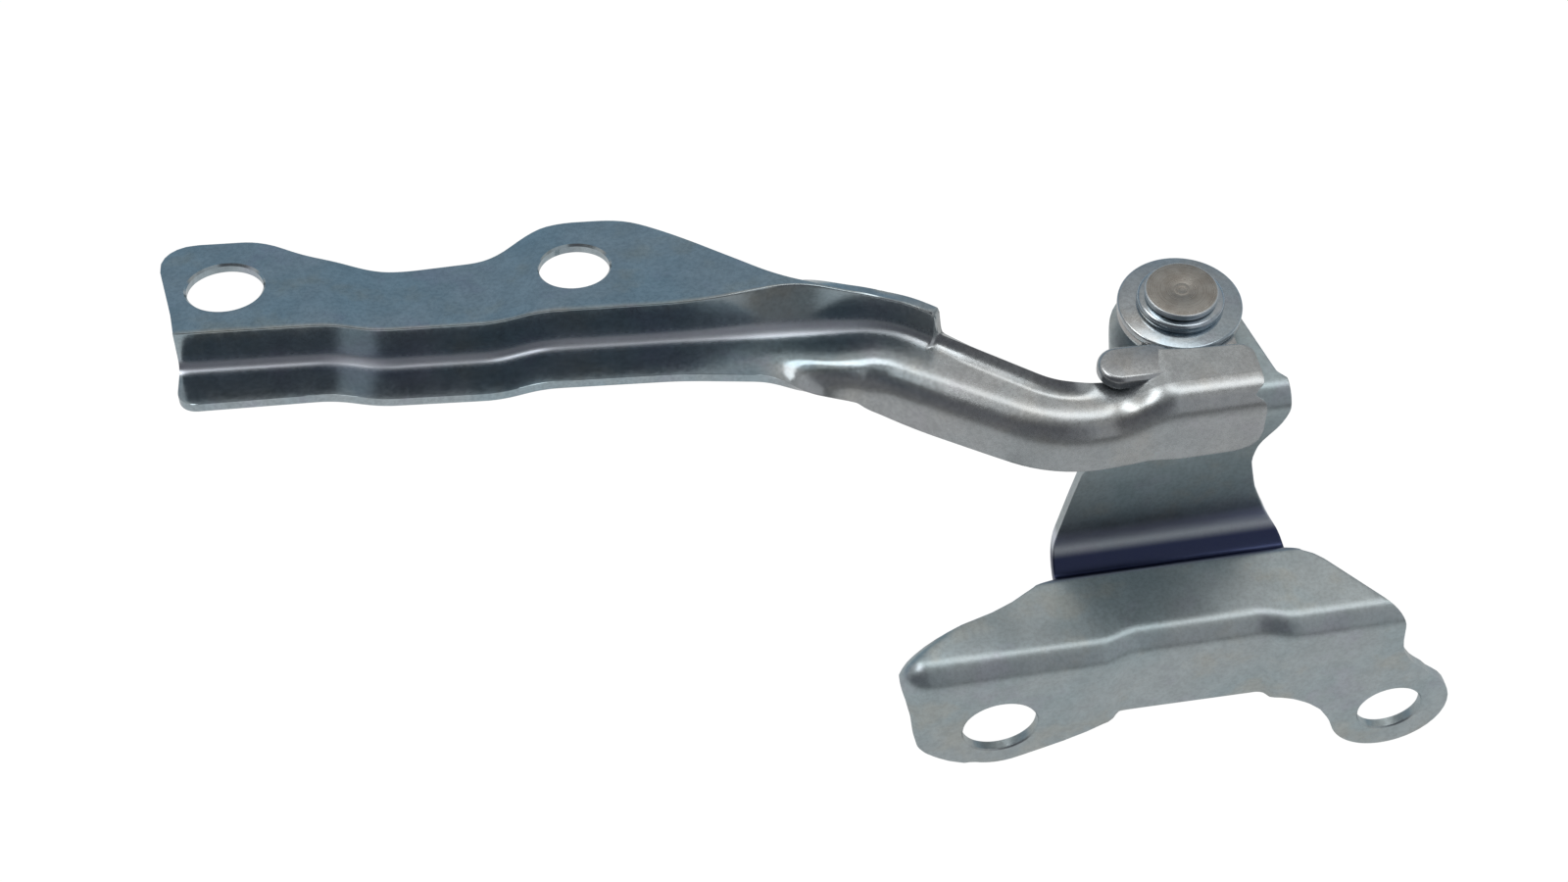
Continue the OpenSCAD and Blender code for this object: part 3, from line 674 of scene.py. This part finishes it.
upper += [("rise", y, z) for y, z in arc_points(WALL_Y + BEND_R, LUG_TOP - BEND_R, BEND_R, 180, 90, 9)]
upper += [("lug", y, LUG_TOP) for y in LUG_ROWS]

# Where the shelf starts to roll off at its left, and by how many degrees
shelf_start = [(-46, TURN_X), (-45, TURN_X), (-43, -58.7), (-41, -55.9), (-39.5, -53.6), (-38, -51.5),
               (-36.8, -46.6), (-34.2, -40.2), (-31.4, -35.4), (SHELF_Y, CREST_LEFT)]
shelf_roll = [(-46, CORNER_TURN), (-44.4, 74), (-43, 62), (-41, 38), (-39.5, 18), (-38, 0)]
shelf_right = [(-46, FLANGE_RIGHT - BEND_IN), (-33.6, 26.9), (-31.2, 24.2), (SHELF_Y, CREST_RIGHT)]
# Left and right ends by height on the wall, and by y on the lug up to where it turns round
rise_left = [(-60, -30.0), (-49.8, -29.0), (-46.8, -28.6), (-41.8, -27.6), (-31.8, -25.6), (-22.6, -23.6),
             (-18, -17.0), (-15.6, -15.0), (-7, -15.0)]
rise_right = [(-60, 22.0), (-49.8, 20.6), (-46.8, 18.6), (-42.8, 16.6), (-35.8, 14.0), (-26.8, 12.2),
              (-21.8, 13.2), (-16.8, 17.2), (-12.8, 18.8), (-7, 18.9)]
LUG_LEFT_Y = 4.7
LUG_RIGHT_Y = 4.0
LUG_TIP = 0.8
lug_left = [(-17, -15.0), (-4, -15.0), (LUG_LEFT_Y, -13.0)]
lug_right = [(-17, 17.6), (LUG_RIGHT_Y, 13.2)]


def row_ends(part, y, z):
    """Left and right end of a row, in x."""
    if part == "bend":
        share = (y - FACE_Y) / BEND_R
        return WRAP_END, FLANGE_RIGHT - BEND_IN * share
    if part == "shelf":
        roll = CORNER_R * math.radians(from_table(y, shelf_roll))
        return from_table(y, shelf_start) - roll, from_table(y, shelf_right)
    if part == "rise":
        crest = ease((y - SHELF_Y) / CREST_RUN)
        left = (1 - crest) * CREST_LEFT + crest * from_table(z, rise_left, EDGE_SOFT)
        right = (1 - crest) * CREST_RIGHT + crest * from_table(z, rise_right, EDGE_SOFT)
        return left, right
    round_x = math.sqrt(max(LUG_R ** 2 - y * y, LUG_TIP))
    left = from_table(y, lug_left, EDGE_SOFT) if y < LUG_LEFT_Y else -round_x
    right = from_table(y, lug_right, LUG_SOFT) if y < LUG_RIGHT_Y else round_x
    return left, right


# %% Patch of the bolt flange
def along_line(points, count):
    """Evenly spaced places along a drawn line."""
    p = np.array(points, float)
    length = np.concatenate([[0], np.cumsum(np.linalg.norm(np.diff(p, axis=0), axis=1))])
    s = np.linspace(0, length[-1], count)
    return np.stack([np.interp(s, length, p[:, 0]), np.interp(s, length, p[:, 1])], 1)


LEFT_HOLE = (-45.0, -68.0)
RIGHT_HOLE = (41.5, -82.0)
LEFT_HOLE_R = 8.0
RIGHT_HOLE_R = 7.0
LEFT_PAD_R = 12.6
RIGHT_PAD_R = 13.0
FLANGE_ROWS = 22
COLUMNS = 96
left_edge = [(WRAP_END, BEND_Z), (-66.0, -56.6), (-64.6, -61.0), (-63.8, -66.6), (-62.6, -71.4),
             (-60.8, -73.6)]
low_edge = [(-60.8, -73.6), (-58.4, -75.8), (-55.6, -77.8), (-52.2, -79.4)]
low_edge += arc_points(*LEFT_HOLE, LEFT_PAD_R, 245, 292, 10)
low_edge += [(-36, -78.2), (-31, -76.4), (-26, -74.2), (-22, -71.9), (-19, -71.1), (-16, -71.0),
             (12, -71.3), (15.5, -71.8), (19, -73.2), (22.6, -75.6), (25.6, -78.6), (27.8, -82.4)]
low_edge += arc_points(*RIGHT_HOLE, RIGHT_PAD_R, 192, 300, 22)
right_edge = [(FLANGE_RIGHT, BEND_Z), (40.9, -58.5), (41.8, -62.0), (44.2, -66.0), (47.4, -69.2)]
right_edge += arc_points(*RIGHT_HOLE, RIGHT_PAD_R, 56, -60, 24)
top_edge = [(WRAP_END, BEND_Z), (FLANGE_RIGHT, BEND_Z)]
edge_left = along_line(left_edge, FLANGE_ROWS)
edge_right = along_line(right_edge, FLANGE_ROWS)
edge_top = along_line(top_edge, COLUMNS)
edge_low = along_line(low_edge, COLUMNS)


def flange_patch(row, column):
    """A place inside the four edges: row 0 is the bend line, the last row the lower edge."""
    s = row / (FLANGE_ROWS - 1)
    t = column / (COLUMNS - 1)
    across = (1 - t) * edge_left[row] + t * edge_right[row]
    down = (1 - s) * edge_top[column] + s * edge_low[column]
    corners = ((1 - s) * ((1 - t) * edge_top[0] + t * edge_top[-1])
               + s * ((1 - t) * edge_low[0] + t * edge_low[-1]))
    return across + down - corners


def rolled(x, y, z, out, start=TURN_X):
    """Rolls a place past start round the drawn left corner; out is the sheet's normal, in y and z."""
    if x >= start:
        return [x, y, z]
    a = (start - x) / CORNER_R
    sink = CORNER_R * (1 - math.cos(a))
    return [start - CORNER_R * math.sin(a), y - sink * out[0], z - sink * out[1]]


def bracket_form(row, column):
    """Where a point of the bracket's blank ends up."""
    if row < FLANGE_ROWS - 1:
        x, z = flange_patch(FLANGE_ROWS - 1 - row, column)
        soft = PANEL_SOFT - PANEL_CRISP * ease((BEND_Z - z) / PANEL_FADE)
        return rolled(x, FACE_Y + panel_in(x, soft), z, (-1, 0))
    part, y, z = upper[row - FLANGE_ROWS + 1]
    x0, x1 = row_ends(part, y, z)
    x = x0 + (x1 - x0) * column / (COLUMNS - 1)
    if part == "bend":
        out = ((y - FACE_Y) / BEND_R - 1, (z - BEND_Z) / BEND_R)
        return rolled(x, y + panel_in(x), z, out)
    if part == "shelf":
        inward = panel_in(x) * (SHELF_Y - y) / (SHELF_Y - FACE_Y - BEND_R)
        return rolled(x, y + inward, z, (0, 1), from_table(y, shelf_start))
    return [x, y, z]


bracket = press("bracket", FLANGE_ROWS - 1 + len(upper), COLUMNS, bracket_form, BRACKET_GAUGE)
outward(bracket)
punch(bracket, [LEFT_HOLE[0], FACE_Y, LEFT_HOLE[1]], [0, -1, 0], LEFT_HOLE_R, BRACKET_GAUGE)
punch(bracket, [RIGHT_HOLE[0], FACE_Y, RIGHT_HOLE[1]], [0, -1, 0], RIGHT_HOLE_R, BRACKET_GAUGE)
smooth(bracket)
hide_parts("body_bracket")
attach(bracket, "bracket")
print("bracket", len(bracket.data.polygons), "faces")

# %% [markdown]
# ## Pin, ring and washers
# These are turned parts, so each is a circle extruded along its profile. The pin's head has a faint
# ring around its centre, left by the lathe, and all edges are broken so that each rim shows a thin
# line of light.

# %% Turned parts
RING_T = 2.1
RING_R = 9.0
RING_EDGE = 0.75
WASHER_R = 12.8
WASHER_EDGE = 0.45
PIN_R = 5.0
TAIL_R = 4.0
HEAD_R = 7.5
HEAD_EDGE = 0.3
HEAD_TOP = RING_T + 1.8
TAIL_LOW = LUG_TOP - BRACKET_GAUGE - 1.5
rim_r = HEAD_R - HEAD_EDGE
rim_z = HEAD_TOP - HEAD_EDGE
head = [(AXIS_R, HEAD_TOP - 0.06), (0.9, HEAD_TOP - 0.06), (1.2, HEAD_TOP - 0.01), (1.5, HEAD_TOP - 0.05),
        (1.9, HEAD_TOP - 0.05), (2.2, HEAD_TOP), (rim_r, HEAD_TOP)]
for a in np.radians((15, 30, 45, 60, 75, 90)):
    head.append((rim_r + HEAD_EDGE * math.sin(a), rim_z + HEAD_EDGE * math.cos(a)))
head += [(HEAD_R, RING_T + 0.5), (7.35, RING_T + 0.38), (6.6, RING_T + 0.3), (6.5, RING_T), (PIN_R, RING_T),
         (PIN_R, LUG_TOP), (TAIL_R, LUG_TOP), (TAIL_R, TAIL_LOW), (6.1, TAIL_LOW), (6.5, TAIL_LOW - 0.5),
         (6.4, TAIL_LOW - 1.1), (5.6, TAIL_LOW - 1.8), (4.2, TAIL_LOW - 2.0), (3.4, TAIL_LOW - 1.7),
         (AXIS_R, TAIL_LOW - 1.6)]
pin = turned("pin", head, False)
ring = turned("ring", soft_profile(PIN_R, RING_R, 0.0, RING_T, RING_EDGE), True)
washer = turned("washer", soft_profile(PIN_R, WASHER_R, EYE_TOP, 0.0, WASHER_EDGE), True)
for piece, node, slot in ((pin, "pivot_pin", "pin_steel"), (ring, "head_ring", "washer_zinc"),
                          (washer, "thrust_washer", "washer_zinc")):
    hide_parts(node)
    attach(piece, "bracket")
print("turned parts", [len(p.data.polygons) for p in (pin, ring, washer)])

# %% [markdown]
# ## Shader maths
# A small class wraps a socket, so that a mask can be written as an expression. Any other node comes
# from one method, which sets the node's options first and then its inputs.

# %% Shader helper
class Value:
    def __init__(self, tree, socket):
        self.tree = tree
        self.socket = socket

    def maths(self, operation, other, flip=False):
        a, b = (other, self) if flip else (self, other)
        return Finish.node(self.tree, "ShaderNodeMath", {"operation": operation}, {0: a, 1: b})

    def __add__(self, other):
        return self.maths("ADD", other)

    __radd__ = __add__

    def __mul__(self, other):
        return self.maths("MULTIPLY", other)

    __rmul__ = __mul__

    def __sub__(self, other):
        return self.maths("SUBTRACT", other)

    def __rsub__(self, other):
        return self.maths("SUBTRACT", other, flip=True)


class Finish:
    """A material under construction."""

    def __init__(self, name):
        self.material = bpy.data.materials.new(name)
        self.material.use_nodes = True
        self.tree = self.material.node_tree
        self.shader = self.tree.nodes["Principled BSDF"]
        self.place = self.make("ShaderNodeTexCoord", {}, {}, "Object")

    @staticmethod
    def node(tree, kind, settings, inputs, output=0):
        node = tree.nodes.new(kind)
        for key, value in settings.items():
            if key == "stops":
                ramp = node.color_ramp
                while len(ramp.elements) < len(value):
                    ramp.elements.new(0.5)
                for element, (position, colour) in zip(ramp.elements, value):
                    element.position = position
                    element.color = (*colour, 1.0)
            else:
                setattr(node, key, value)
        for key, value in inputs.items():
            if isinstance(value, Value):
                tree.links.new(value.socket, node.inputs[key])
            else:
                node.inputs[key].default_value = value
        return Value(tree, node.outputs[output])

    def make(self, kind, settings, inputs, output=0):
        return Finish.node(self.tree, kind, settings, inputs, output)

    def noise(self, size_mm, detail=2.0, rough=0.5, shift=0.0):
        """Noise with lumps of about size_mm, between 0 and 1."""
        place = self.place
        if shift:
            place = self.make("ShaderNodeVectorMath", {"operation": "ADD"},
                              {0: place, 1: (shift, shift, shift)})
        return self.make("ShaderNodeTexNoise", {},
                         {"Vector": place, "Scale": 1000.0 / size_mm, "Detail": detail,
                          "Roughness": rough}, "Fac")

    def steps(self, value, low, high, to_low=0.0, to_high=1.0):
        return Finish.eased(self.tree, value, low, high, to_low, to_high)

    @staticmethod
    def eased(tree, value, low, high, to_low=0.0, to_high=1.0):
        return Finish.node(tree, "ShaderNodeMapRange", {"interpolation_type": "SMOOTHSTEP"},
                           {"Value": value, "From Min": low, "From Max": high, "To Min": to_low,
                            "To Max": to_high})

    def part(self, vector, axis):
        """One part of a vector: X, Y or Z."""
        return self.make("ShaderNodeSeparateXYZ", {}, {0: vector}, axis)

    def scaled(self, colour, factor):
        return self.make("ShaderNodeVectorMath", {"operation": "SCALE"}, {0: colour, "Scale": factor})

    def colours(self, factor, a, b):
        return self.make("ShaderNodeMix", {"data_type": "RGBA", "blend_type": "MIX"},
                         {"Factor": factor, 6: a, 7: b}, 2)

    def set(self, socket, value):
        if isinstance(value, Value):
            self.tree.links.new(value.socket, self.shader.inputs[socket])
        else:
            self.shader.inputs[socket].default_value = value


# %% [markdown]
# ## Zinc plate
# Bright zinc with a clear passivate is a grey metal with a cold cast. Close up it is mottled: fine
# grains a few tenths of a millimetre across, and over centimetres the passivate drifts from
# blue-green to straw and violet. The grain goes into colour, roughness and a slight bump; the drift
# goes into colour only. The arm's beam, neck and lip each have their own cast, set by where they are;
# the fold at the arm's riser foot gets a painted highlight, and the bracket's valley painted shade and a
# painted highlight line.

# %% Zinc finish
# The arm's beam is smoother than its drawn neck, and the fold at the riser's foot is rougher and carries a
# painted highlight, a pale bluish line; places along the arm are the frame's x in metres
NECK_X = (-0.030, 0.002)
NECK_TONE = (0.62, 0.61, 0.60, 1)
NECK_MATT = 0.06
BEAM_POLISH = 0.10
FILLET_HIGHLIGHT_TONE = (0.80, 0.82, 0.90, 1)
RUB_ROUGH = 0.22
FILLET_AT = 1 - (corner2_at + 4) / (SECTION_COUNT - 1)
FILLET_WIDE = 5.0 / (SECTION_COUNT - 1)
# The turned-down lip is duller than the neck from where it starts
LIP_AT = 1 - (corner3_at + 3) / (SECTION_COUNT - 1)
LIP_WIDE = 2.5 / (SECTION_COUNT - 1)
LIP_X = (-0.045, -0.034)
LIP_MATT = 0.18
# Painted shade and a painted highlight in the bracket's valley: dark violet shade at its bottom, and a pale
# highlight line above that
VALLEY_FRONT = (PIVOT[1] + SHELF_Y) * MM
VALLEY_SHADE_Z = ((PIVOT[2] + VALLEY_Z - 5.0) * MM, (PIVOT[2] + VALLEY_Z - 2.6) * MM)
VALLEY_HIGHLIGHT_Z = (PIVOT[2] + VALLEY_Z - 0.6) * MM
VALLEY_HIGHLIGHT_TOP = (PIVOT[2] + VALLEY_Z + 2.4) * MM
VALLEY_SHADE_TONE = (0.03, 0.04, 0.11, 1)
VALLEY_HIGHLIGHT_TONE = (0.86, 0.90, 1.0, 1)


def zinc(name, base, cool, warm, violet, rough, grain=1.0, sheet=False, metal=1.0, valley=False):
    """Zinc plate in four tones; sheet adds what only the arm has, among it a painted highlight on a fold,
    and valley adds the bracket's painted shade and highlight in its valley.
    """
    finish = Finish(name)
    drift = finish.noise(22.0, 3.0, 0.55)
    drift2 = finish.noise(13.0, 3.0, 0.6, shift=0.37)
    cloud = finish.noise(5.0, 4.0, 0.6, shift=0.11)
    speck = finish.noise(0.9, 3.0, 0.65, shift=0.23)
    fine = finish.noise(0.35, 2.0, 0.6, shift=0.51)
    colour = finish.colours(finish.steps(drift, 0.36, 0.62), (*cool, 1), (*base, 1))
    colour = finish.colours(finish.steps(drift2, 0.52, 0.72, 0.0, 0.55), colour, (*warm, 1))
    colour = finish.colours(finish.steps(drift2, 0.46, 0.30, 0.0, 0.4), colour, (*violet, 1))
    if sheet:
        along = finish.part(finish.place, "X")
        across = finish.part(finish.make("ShaderNodeTexCoord", {}, {}, "UV"), "X")
        lip = finish.steps(across, LIP_AT, LIP_AT - LIP_WIDE) * finish.steps(along, *LIP_X)
        neck = finish.steps(along, *NECK_X).maths("MAXIMUM", lip)
        colour = finish.colours(0.6 * neck, colour, NECK_TONE)
    colour = finish.colours(finish.steps(cloud, 0.40, 0.64, 0.0, 0.6), finish.scaled(colour, 0.86), colour)
    colour = finish.colours(finish.steps(speck, 0.36, 0.60), finish.scaled(colour, 0.88), colour)
    level = rough + 0.08 * (cloud - 0.5) + 0.10 * (speck - 0.5)
    if sheet:
        beam = finish.steps(along, NECK_X[1], NECK_X[0])
        away = (across - FILLET_AT).maths("ABSOLUTE", 0.0)
        fold_rub_and_highlight = finish.steps(away, FILLET_WIDE, 0.3 * FILLET_WIDE) * beam
        level = level - BEAM_POLISH * beam + RUB_ROUGH * fold_rub_and_highlight
        # Painted highlight: a pale bluish line along the fold at the riser's foot
        colour = finish.colours(0.6 * fold_rub_and_highlight, colour, FILLET_HIGHLIGHT_TONE)
        metal = 1.0 - NECK_MATT * neck - LIP_MATT * lip
    if valley:
        rise = finish.part(finish.place, "Z")
        behind = finish.steps(finish.part(finish.place, "Y"), VALLEY_FRONT, VALLEY_FRONT + MM)
        low = behind * finish.steps(rise, VALLEY_SHADE_Z[1], VALLEY_SHADE_Z[0])
        line = finish.steps(rise, VALLEY_SHADE_Z[0], VALLEY_HIGHLIGHT_Z) * finish.steps(rise, VALLEY_HIGHLIGHT_TOP, VALLEY_HIGHLIGHT_Z)
        # Painted shade at the valley's bottom, then a painted highlight line above it
        colour = finish.colours(0.95 * low, colour, VALLEY_SHADE_TONE)
        colour = finish.colours(0.9 * behind * line, colour, VALLEY_HIGHLIGHT_TONE)
        metal = metal + (1.0 - metal) * low
    finish.set("Base Color", colour)
    finish.set("Metallic", metal)
    finish.set("Roughness", level)
    bump = finish.make("ShaderNodeBump", {}, {"Strength": 0.05 * grain, "Distance": 0.0002,
                                              "Height": 0.6 * speck + 0.4 * fine}, "Normal")
    finish.set("Normal", bump)
    return finish.material


# The four tones of each plate: base, cool, warm and violet
BRACKET_TONES = ((0.57, 0.64, 0.66), (0.52, 0.62, 0.65), (0.62, 0.63, 0.58), (0.56, 0.57, 0.66))
ARM_TONES = ((0.55, 0.63, 0.67), (0.48, 0.60, 0.66), (0.59, 0.60, 0.55), (0.54, 0.55, 0.67))
EYE_TONES = ((0.60, 0.60, 0.60), (0.55, 0.58, 0.60), (0.61, 0.59, 0.55), (0.57, 0.57, 0.62))
WASHER_TONES = ((0.58, 0.64, 0.68), (0.50, 0.61, 0.69), (0.62, 0.60, 0.56), (0.56, 0.56, 0.66))
bracket_zinc = zinc("bracket_zinc", *BRACKET_TONES, 0.34, metal=0.86, valley=True)
arm_zinc = zinc("arm_zinc", *ARM_TONES, 0.27, sheet=True)
eye_zinc = zinc("eye_zinc", *EYE_TONES, 0.27)
washer_zinc = zinc("washer_zinc", *WASHER_TONES, 0.19, grain=0.4)

# %% [markdown]
# ## Turned steel and bronze
# The pin is bare steel, darker and warmer than the plate. Its head was faced on a lathe, so its
# roughness changes in fine rings about the pin's axis. The bush is plain bronze and hardly shows.

# %% Steel and bronze finishes
PLATED_FROM = (0.0071, 0.0074)
PLATED_TONE = (0.66, 0.72, 0.76, 1)


def turned_steel(name, colour, dark, rough):
    finish = Finish(name)
    axis = finish.make("ShaderNodeVectorMath", {"operation": "SUBTRACT"},
                       {0: finish.place, 1: tuple(PIVOT * MM)})
    flat = finish.make("ShaderNodeVectorMath", {"operation": "MULTIPLY"}, {0: axis, 1: (1.0, 1.0, 0.0)})
    radius = finish.make("ShaderNodeVectorMath", {"operation": "LENGTH"}, {0: flat}, "Value")
    rings = finish.make("ShaderNodeTexNoise", {"noise_dimensions": "1D"},
                        {"W": radius, "Scale": 5200.0, "Detail": 3.0, "Roughness": 0.6}, "Fac")
    cloud = finish.noise(4.0, 4.0, 0.6)
    speck = finish.noise(0.6, 3.0, 0.6, shift=0.31)
    tone = finish.steps(cloud, 0.36, 0.66)
    shade = finish.colours(tone, (*dark, 1), (*colour, 1))
    shade = finish.colours(finish.steps(rings, 0.35, 0.65), finish.scaled(shade, 0.80), shade)
    # The head's side kept its plating; only its face was turned bare
    shade = finish.colours(finish.steps(radius, *PLATED_FROM), shade, PLATED_TONE)
    finish.set("Base Color", shade)
    finish.set("Metallic", 1.0)
    finish.set("Roughness", rough + 0.18 * (rings - 0.5) + 0.10 * (speck - 0.5))
    bump = finish.make("ShaderNodeBump", {}, {"Strength": 0.12, "Distance": 0.0001,
                                              "Height": rings + 0.5 * speck}, "Normal")
    finish.set("Normal", bump)
    return finish.material


pin_steel = turned_steel("pin_steel", (0.46, 0.45, 0.42), (0.36, 0.34, 0.31), 0.30)
bush_bronze = turned_steel("bush_bronze", (0.60, 0.46, 0.26), (0.45, 0.33, 0.18), 0.38)
for piece, material in ((arm, arm_zinc), (eye_plate, eye_zinc), (finger, eye_zinc), (bracket, bracket_zinc),
                        (pin, pin_steel), (ring, washer_zinc), (washer, washer_zinc),
                        (nodes["pivot_bush"], bush_bronze), (nodes["spacer_collar"], washer_zinc),
                        (nodes["tail_washer"], washer_zinc)):
    piece.data.materials.clear()
    piece.data.materials.append(material)

# %% [markdown]
# ## Studio
# Metal shows what is around it, so the room was read off the photograph's bends, where the slope of
# the metal is known. Two soft lamps hang overhead, a little behind the part. The back of the room is
# a cool grey, the side of the camera is dark, and the floor is white near the part and falls off
# towards the camera.

# %% Studio
floor_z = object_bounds()[0][2] - 0.0005
nothing_selected()
bpy.ops.mesh.primitive_plane_add(size=6.0, location=(0, 0, floor_z))
floor = added("floor")
floor_finish = Finish("floor_white")
floor_finish.set("Base Color", (0.9, 0.9, 0.9, 1))
floor_finish.set("Roughness", 0.9)
seen = floor_finish.make("ShaderNodeLightPath", {}, {}, "Is Camera Ray")
mirrored = floor_finish.make("ShaderNodeLightPath", {}, {}, "Is Glossy Ray")
through = floor_finish.make("ShaderNodeLightPath", {}, {}, "Is Transmission Ray")
near = floor_finish.steps(floor_finish.part(floor_finish.place, "Y"), -0.30, -0.04, 0.16, 0.62)
glow_level = seen * 1.06 + (1.0 - seen) * near
glow = floor_finish.make("ShaderNodeEmission", {}, {"Color": (1, 1, 1, 1), "Strength": glow_level},
                         "Emission")
blend = floor_finish.make("ShaderNodeMixShader", {}, {0: (seen + mirrored + through) * 0.94}, "Shader")
blend_node = blend.socket.node
floor_finish.tree.links.new(floor_finish.shader.outputs[0], blend_node.inputs[1])
floor_finish.tree.links.new(glow.socket, blend_node.inputs[2])
floor_finish.tree.links.new(blend.socket, floor_finish.tree.nodes["Material Output"].inputs["Surface"])
floor.data.materials.append(floor_finish.material)

world = bpy.data.worlds.new("studio")
world.use_nodes = True
scene.world = world
tree = world.node_tree
ways = Finish.node(tree, "ShaderNodeTexCoord", {}, {}, "Generated")
way_x, way_y, way_z = [Finish.node(tree, "ShaderNodeSeparateXYZ", {}, {0: ways}, axis) for axis in "XYZ"]
# The angle over the top of the room: 0 is the camera's side, a half the ceiling, 1 the back
angle = way_z.maths("ARCTAN2", way_y * -1.0) * (1.0 / math.pi)
# The camera's side is darkest round the camera and lighter to its right
beside = Finish.eased(tree, way_x, 0.06, 0.20)
front = Finish.eased(tree, angle, 0.40, 0.50, 1.0, 0.0)
lift = beside * front * 0.36
room_stops = [(0.0, (0.13, 0.13, 0.14)), (0.28, (0.10, 0.10, 0.115)), (0.45, (0.15, 0.15, 0.15)),
              (0.53, (0.48, 0.48, 0.48)), (0.68, (0.52, 0.49, 0.46)), (0.77, (0.40, 0.40, 0.40)),
              (0.86, (0.22, 0.30, 0.37)), (1.0, (0.32, 0.40, 0.46))]
room = Finish.node(tree, "ShaderNodeValToRGB", {"stops": room_stops}, {0: angle}, "Color")
background = tree.nodes["Background"]
lifted = Finish.node(tree, "ShaderNodeVectorMath", {"operation": "ADD"}, {0: room, 1: lift})
tree.links.new(lifted.socket, background.inputs["Color"])
background.inputs["Strength"].default_value = 1.0
LAMP_TARGET = Vector((-0.04, 0.04, 0.05))


def soft_lamp(name, place, size, radiance):
    """A soft rectangle of light that faces the part, as bright as radiance seen in a mirror."""
    data = bpy.data.lights.new(name, "AREA")
    data.shape = "RECTANGLE"
    data.size, data.size_y = size
    data.energy = radiance * math.pi * size[0] * size[1]
    lamp = bpy.data.objects.new(name, data)
    scene.collection.objects.link(lamp)
    lamp.location = Vector(place)
    lamp.rotation_euler = (LAMP_TARGET - lamp.location).to_track_quat("-Z", "Y").to_euler()


soft_lamp("overhead_left", (-0.46, 0.31, 1.05), (0.66, 0.28), 3.4)
soft_lamp("overhead_right", (0.26, 0.31, 1.05), (0.74, 0.28), 1.7)
print("floor at", round(floor_z * 1000, 1), "mm")
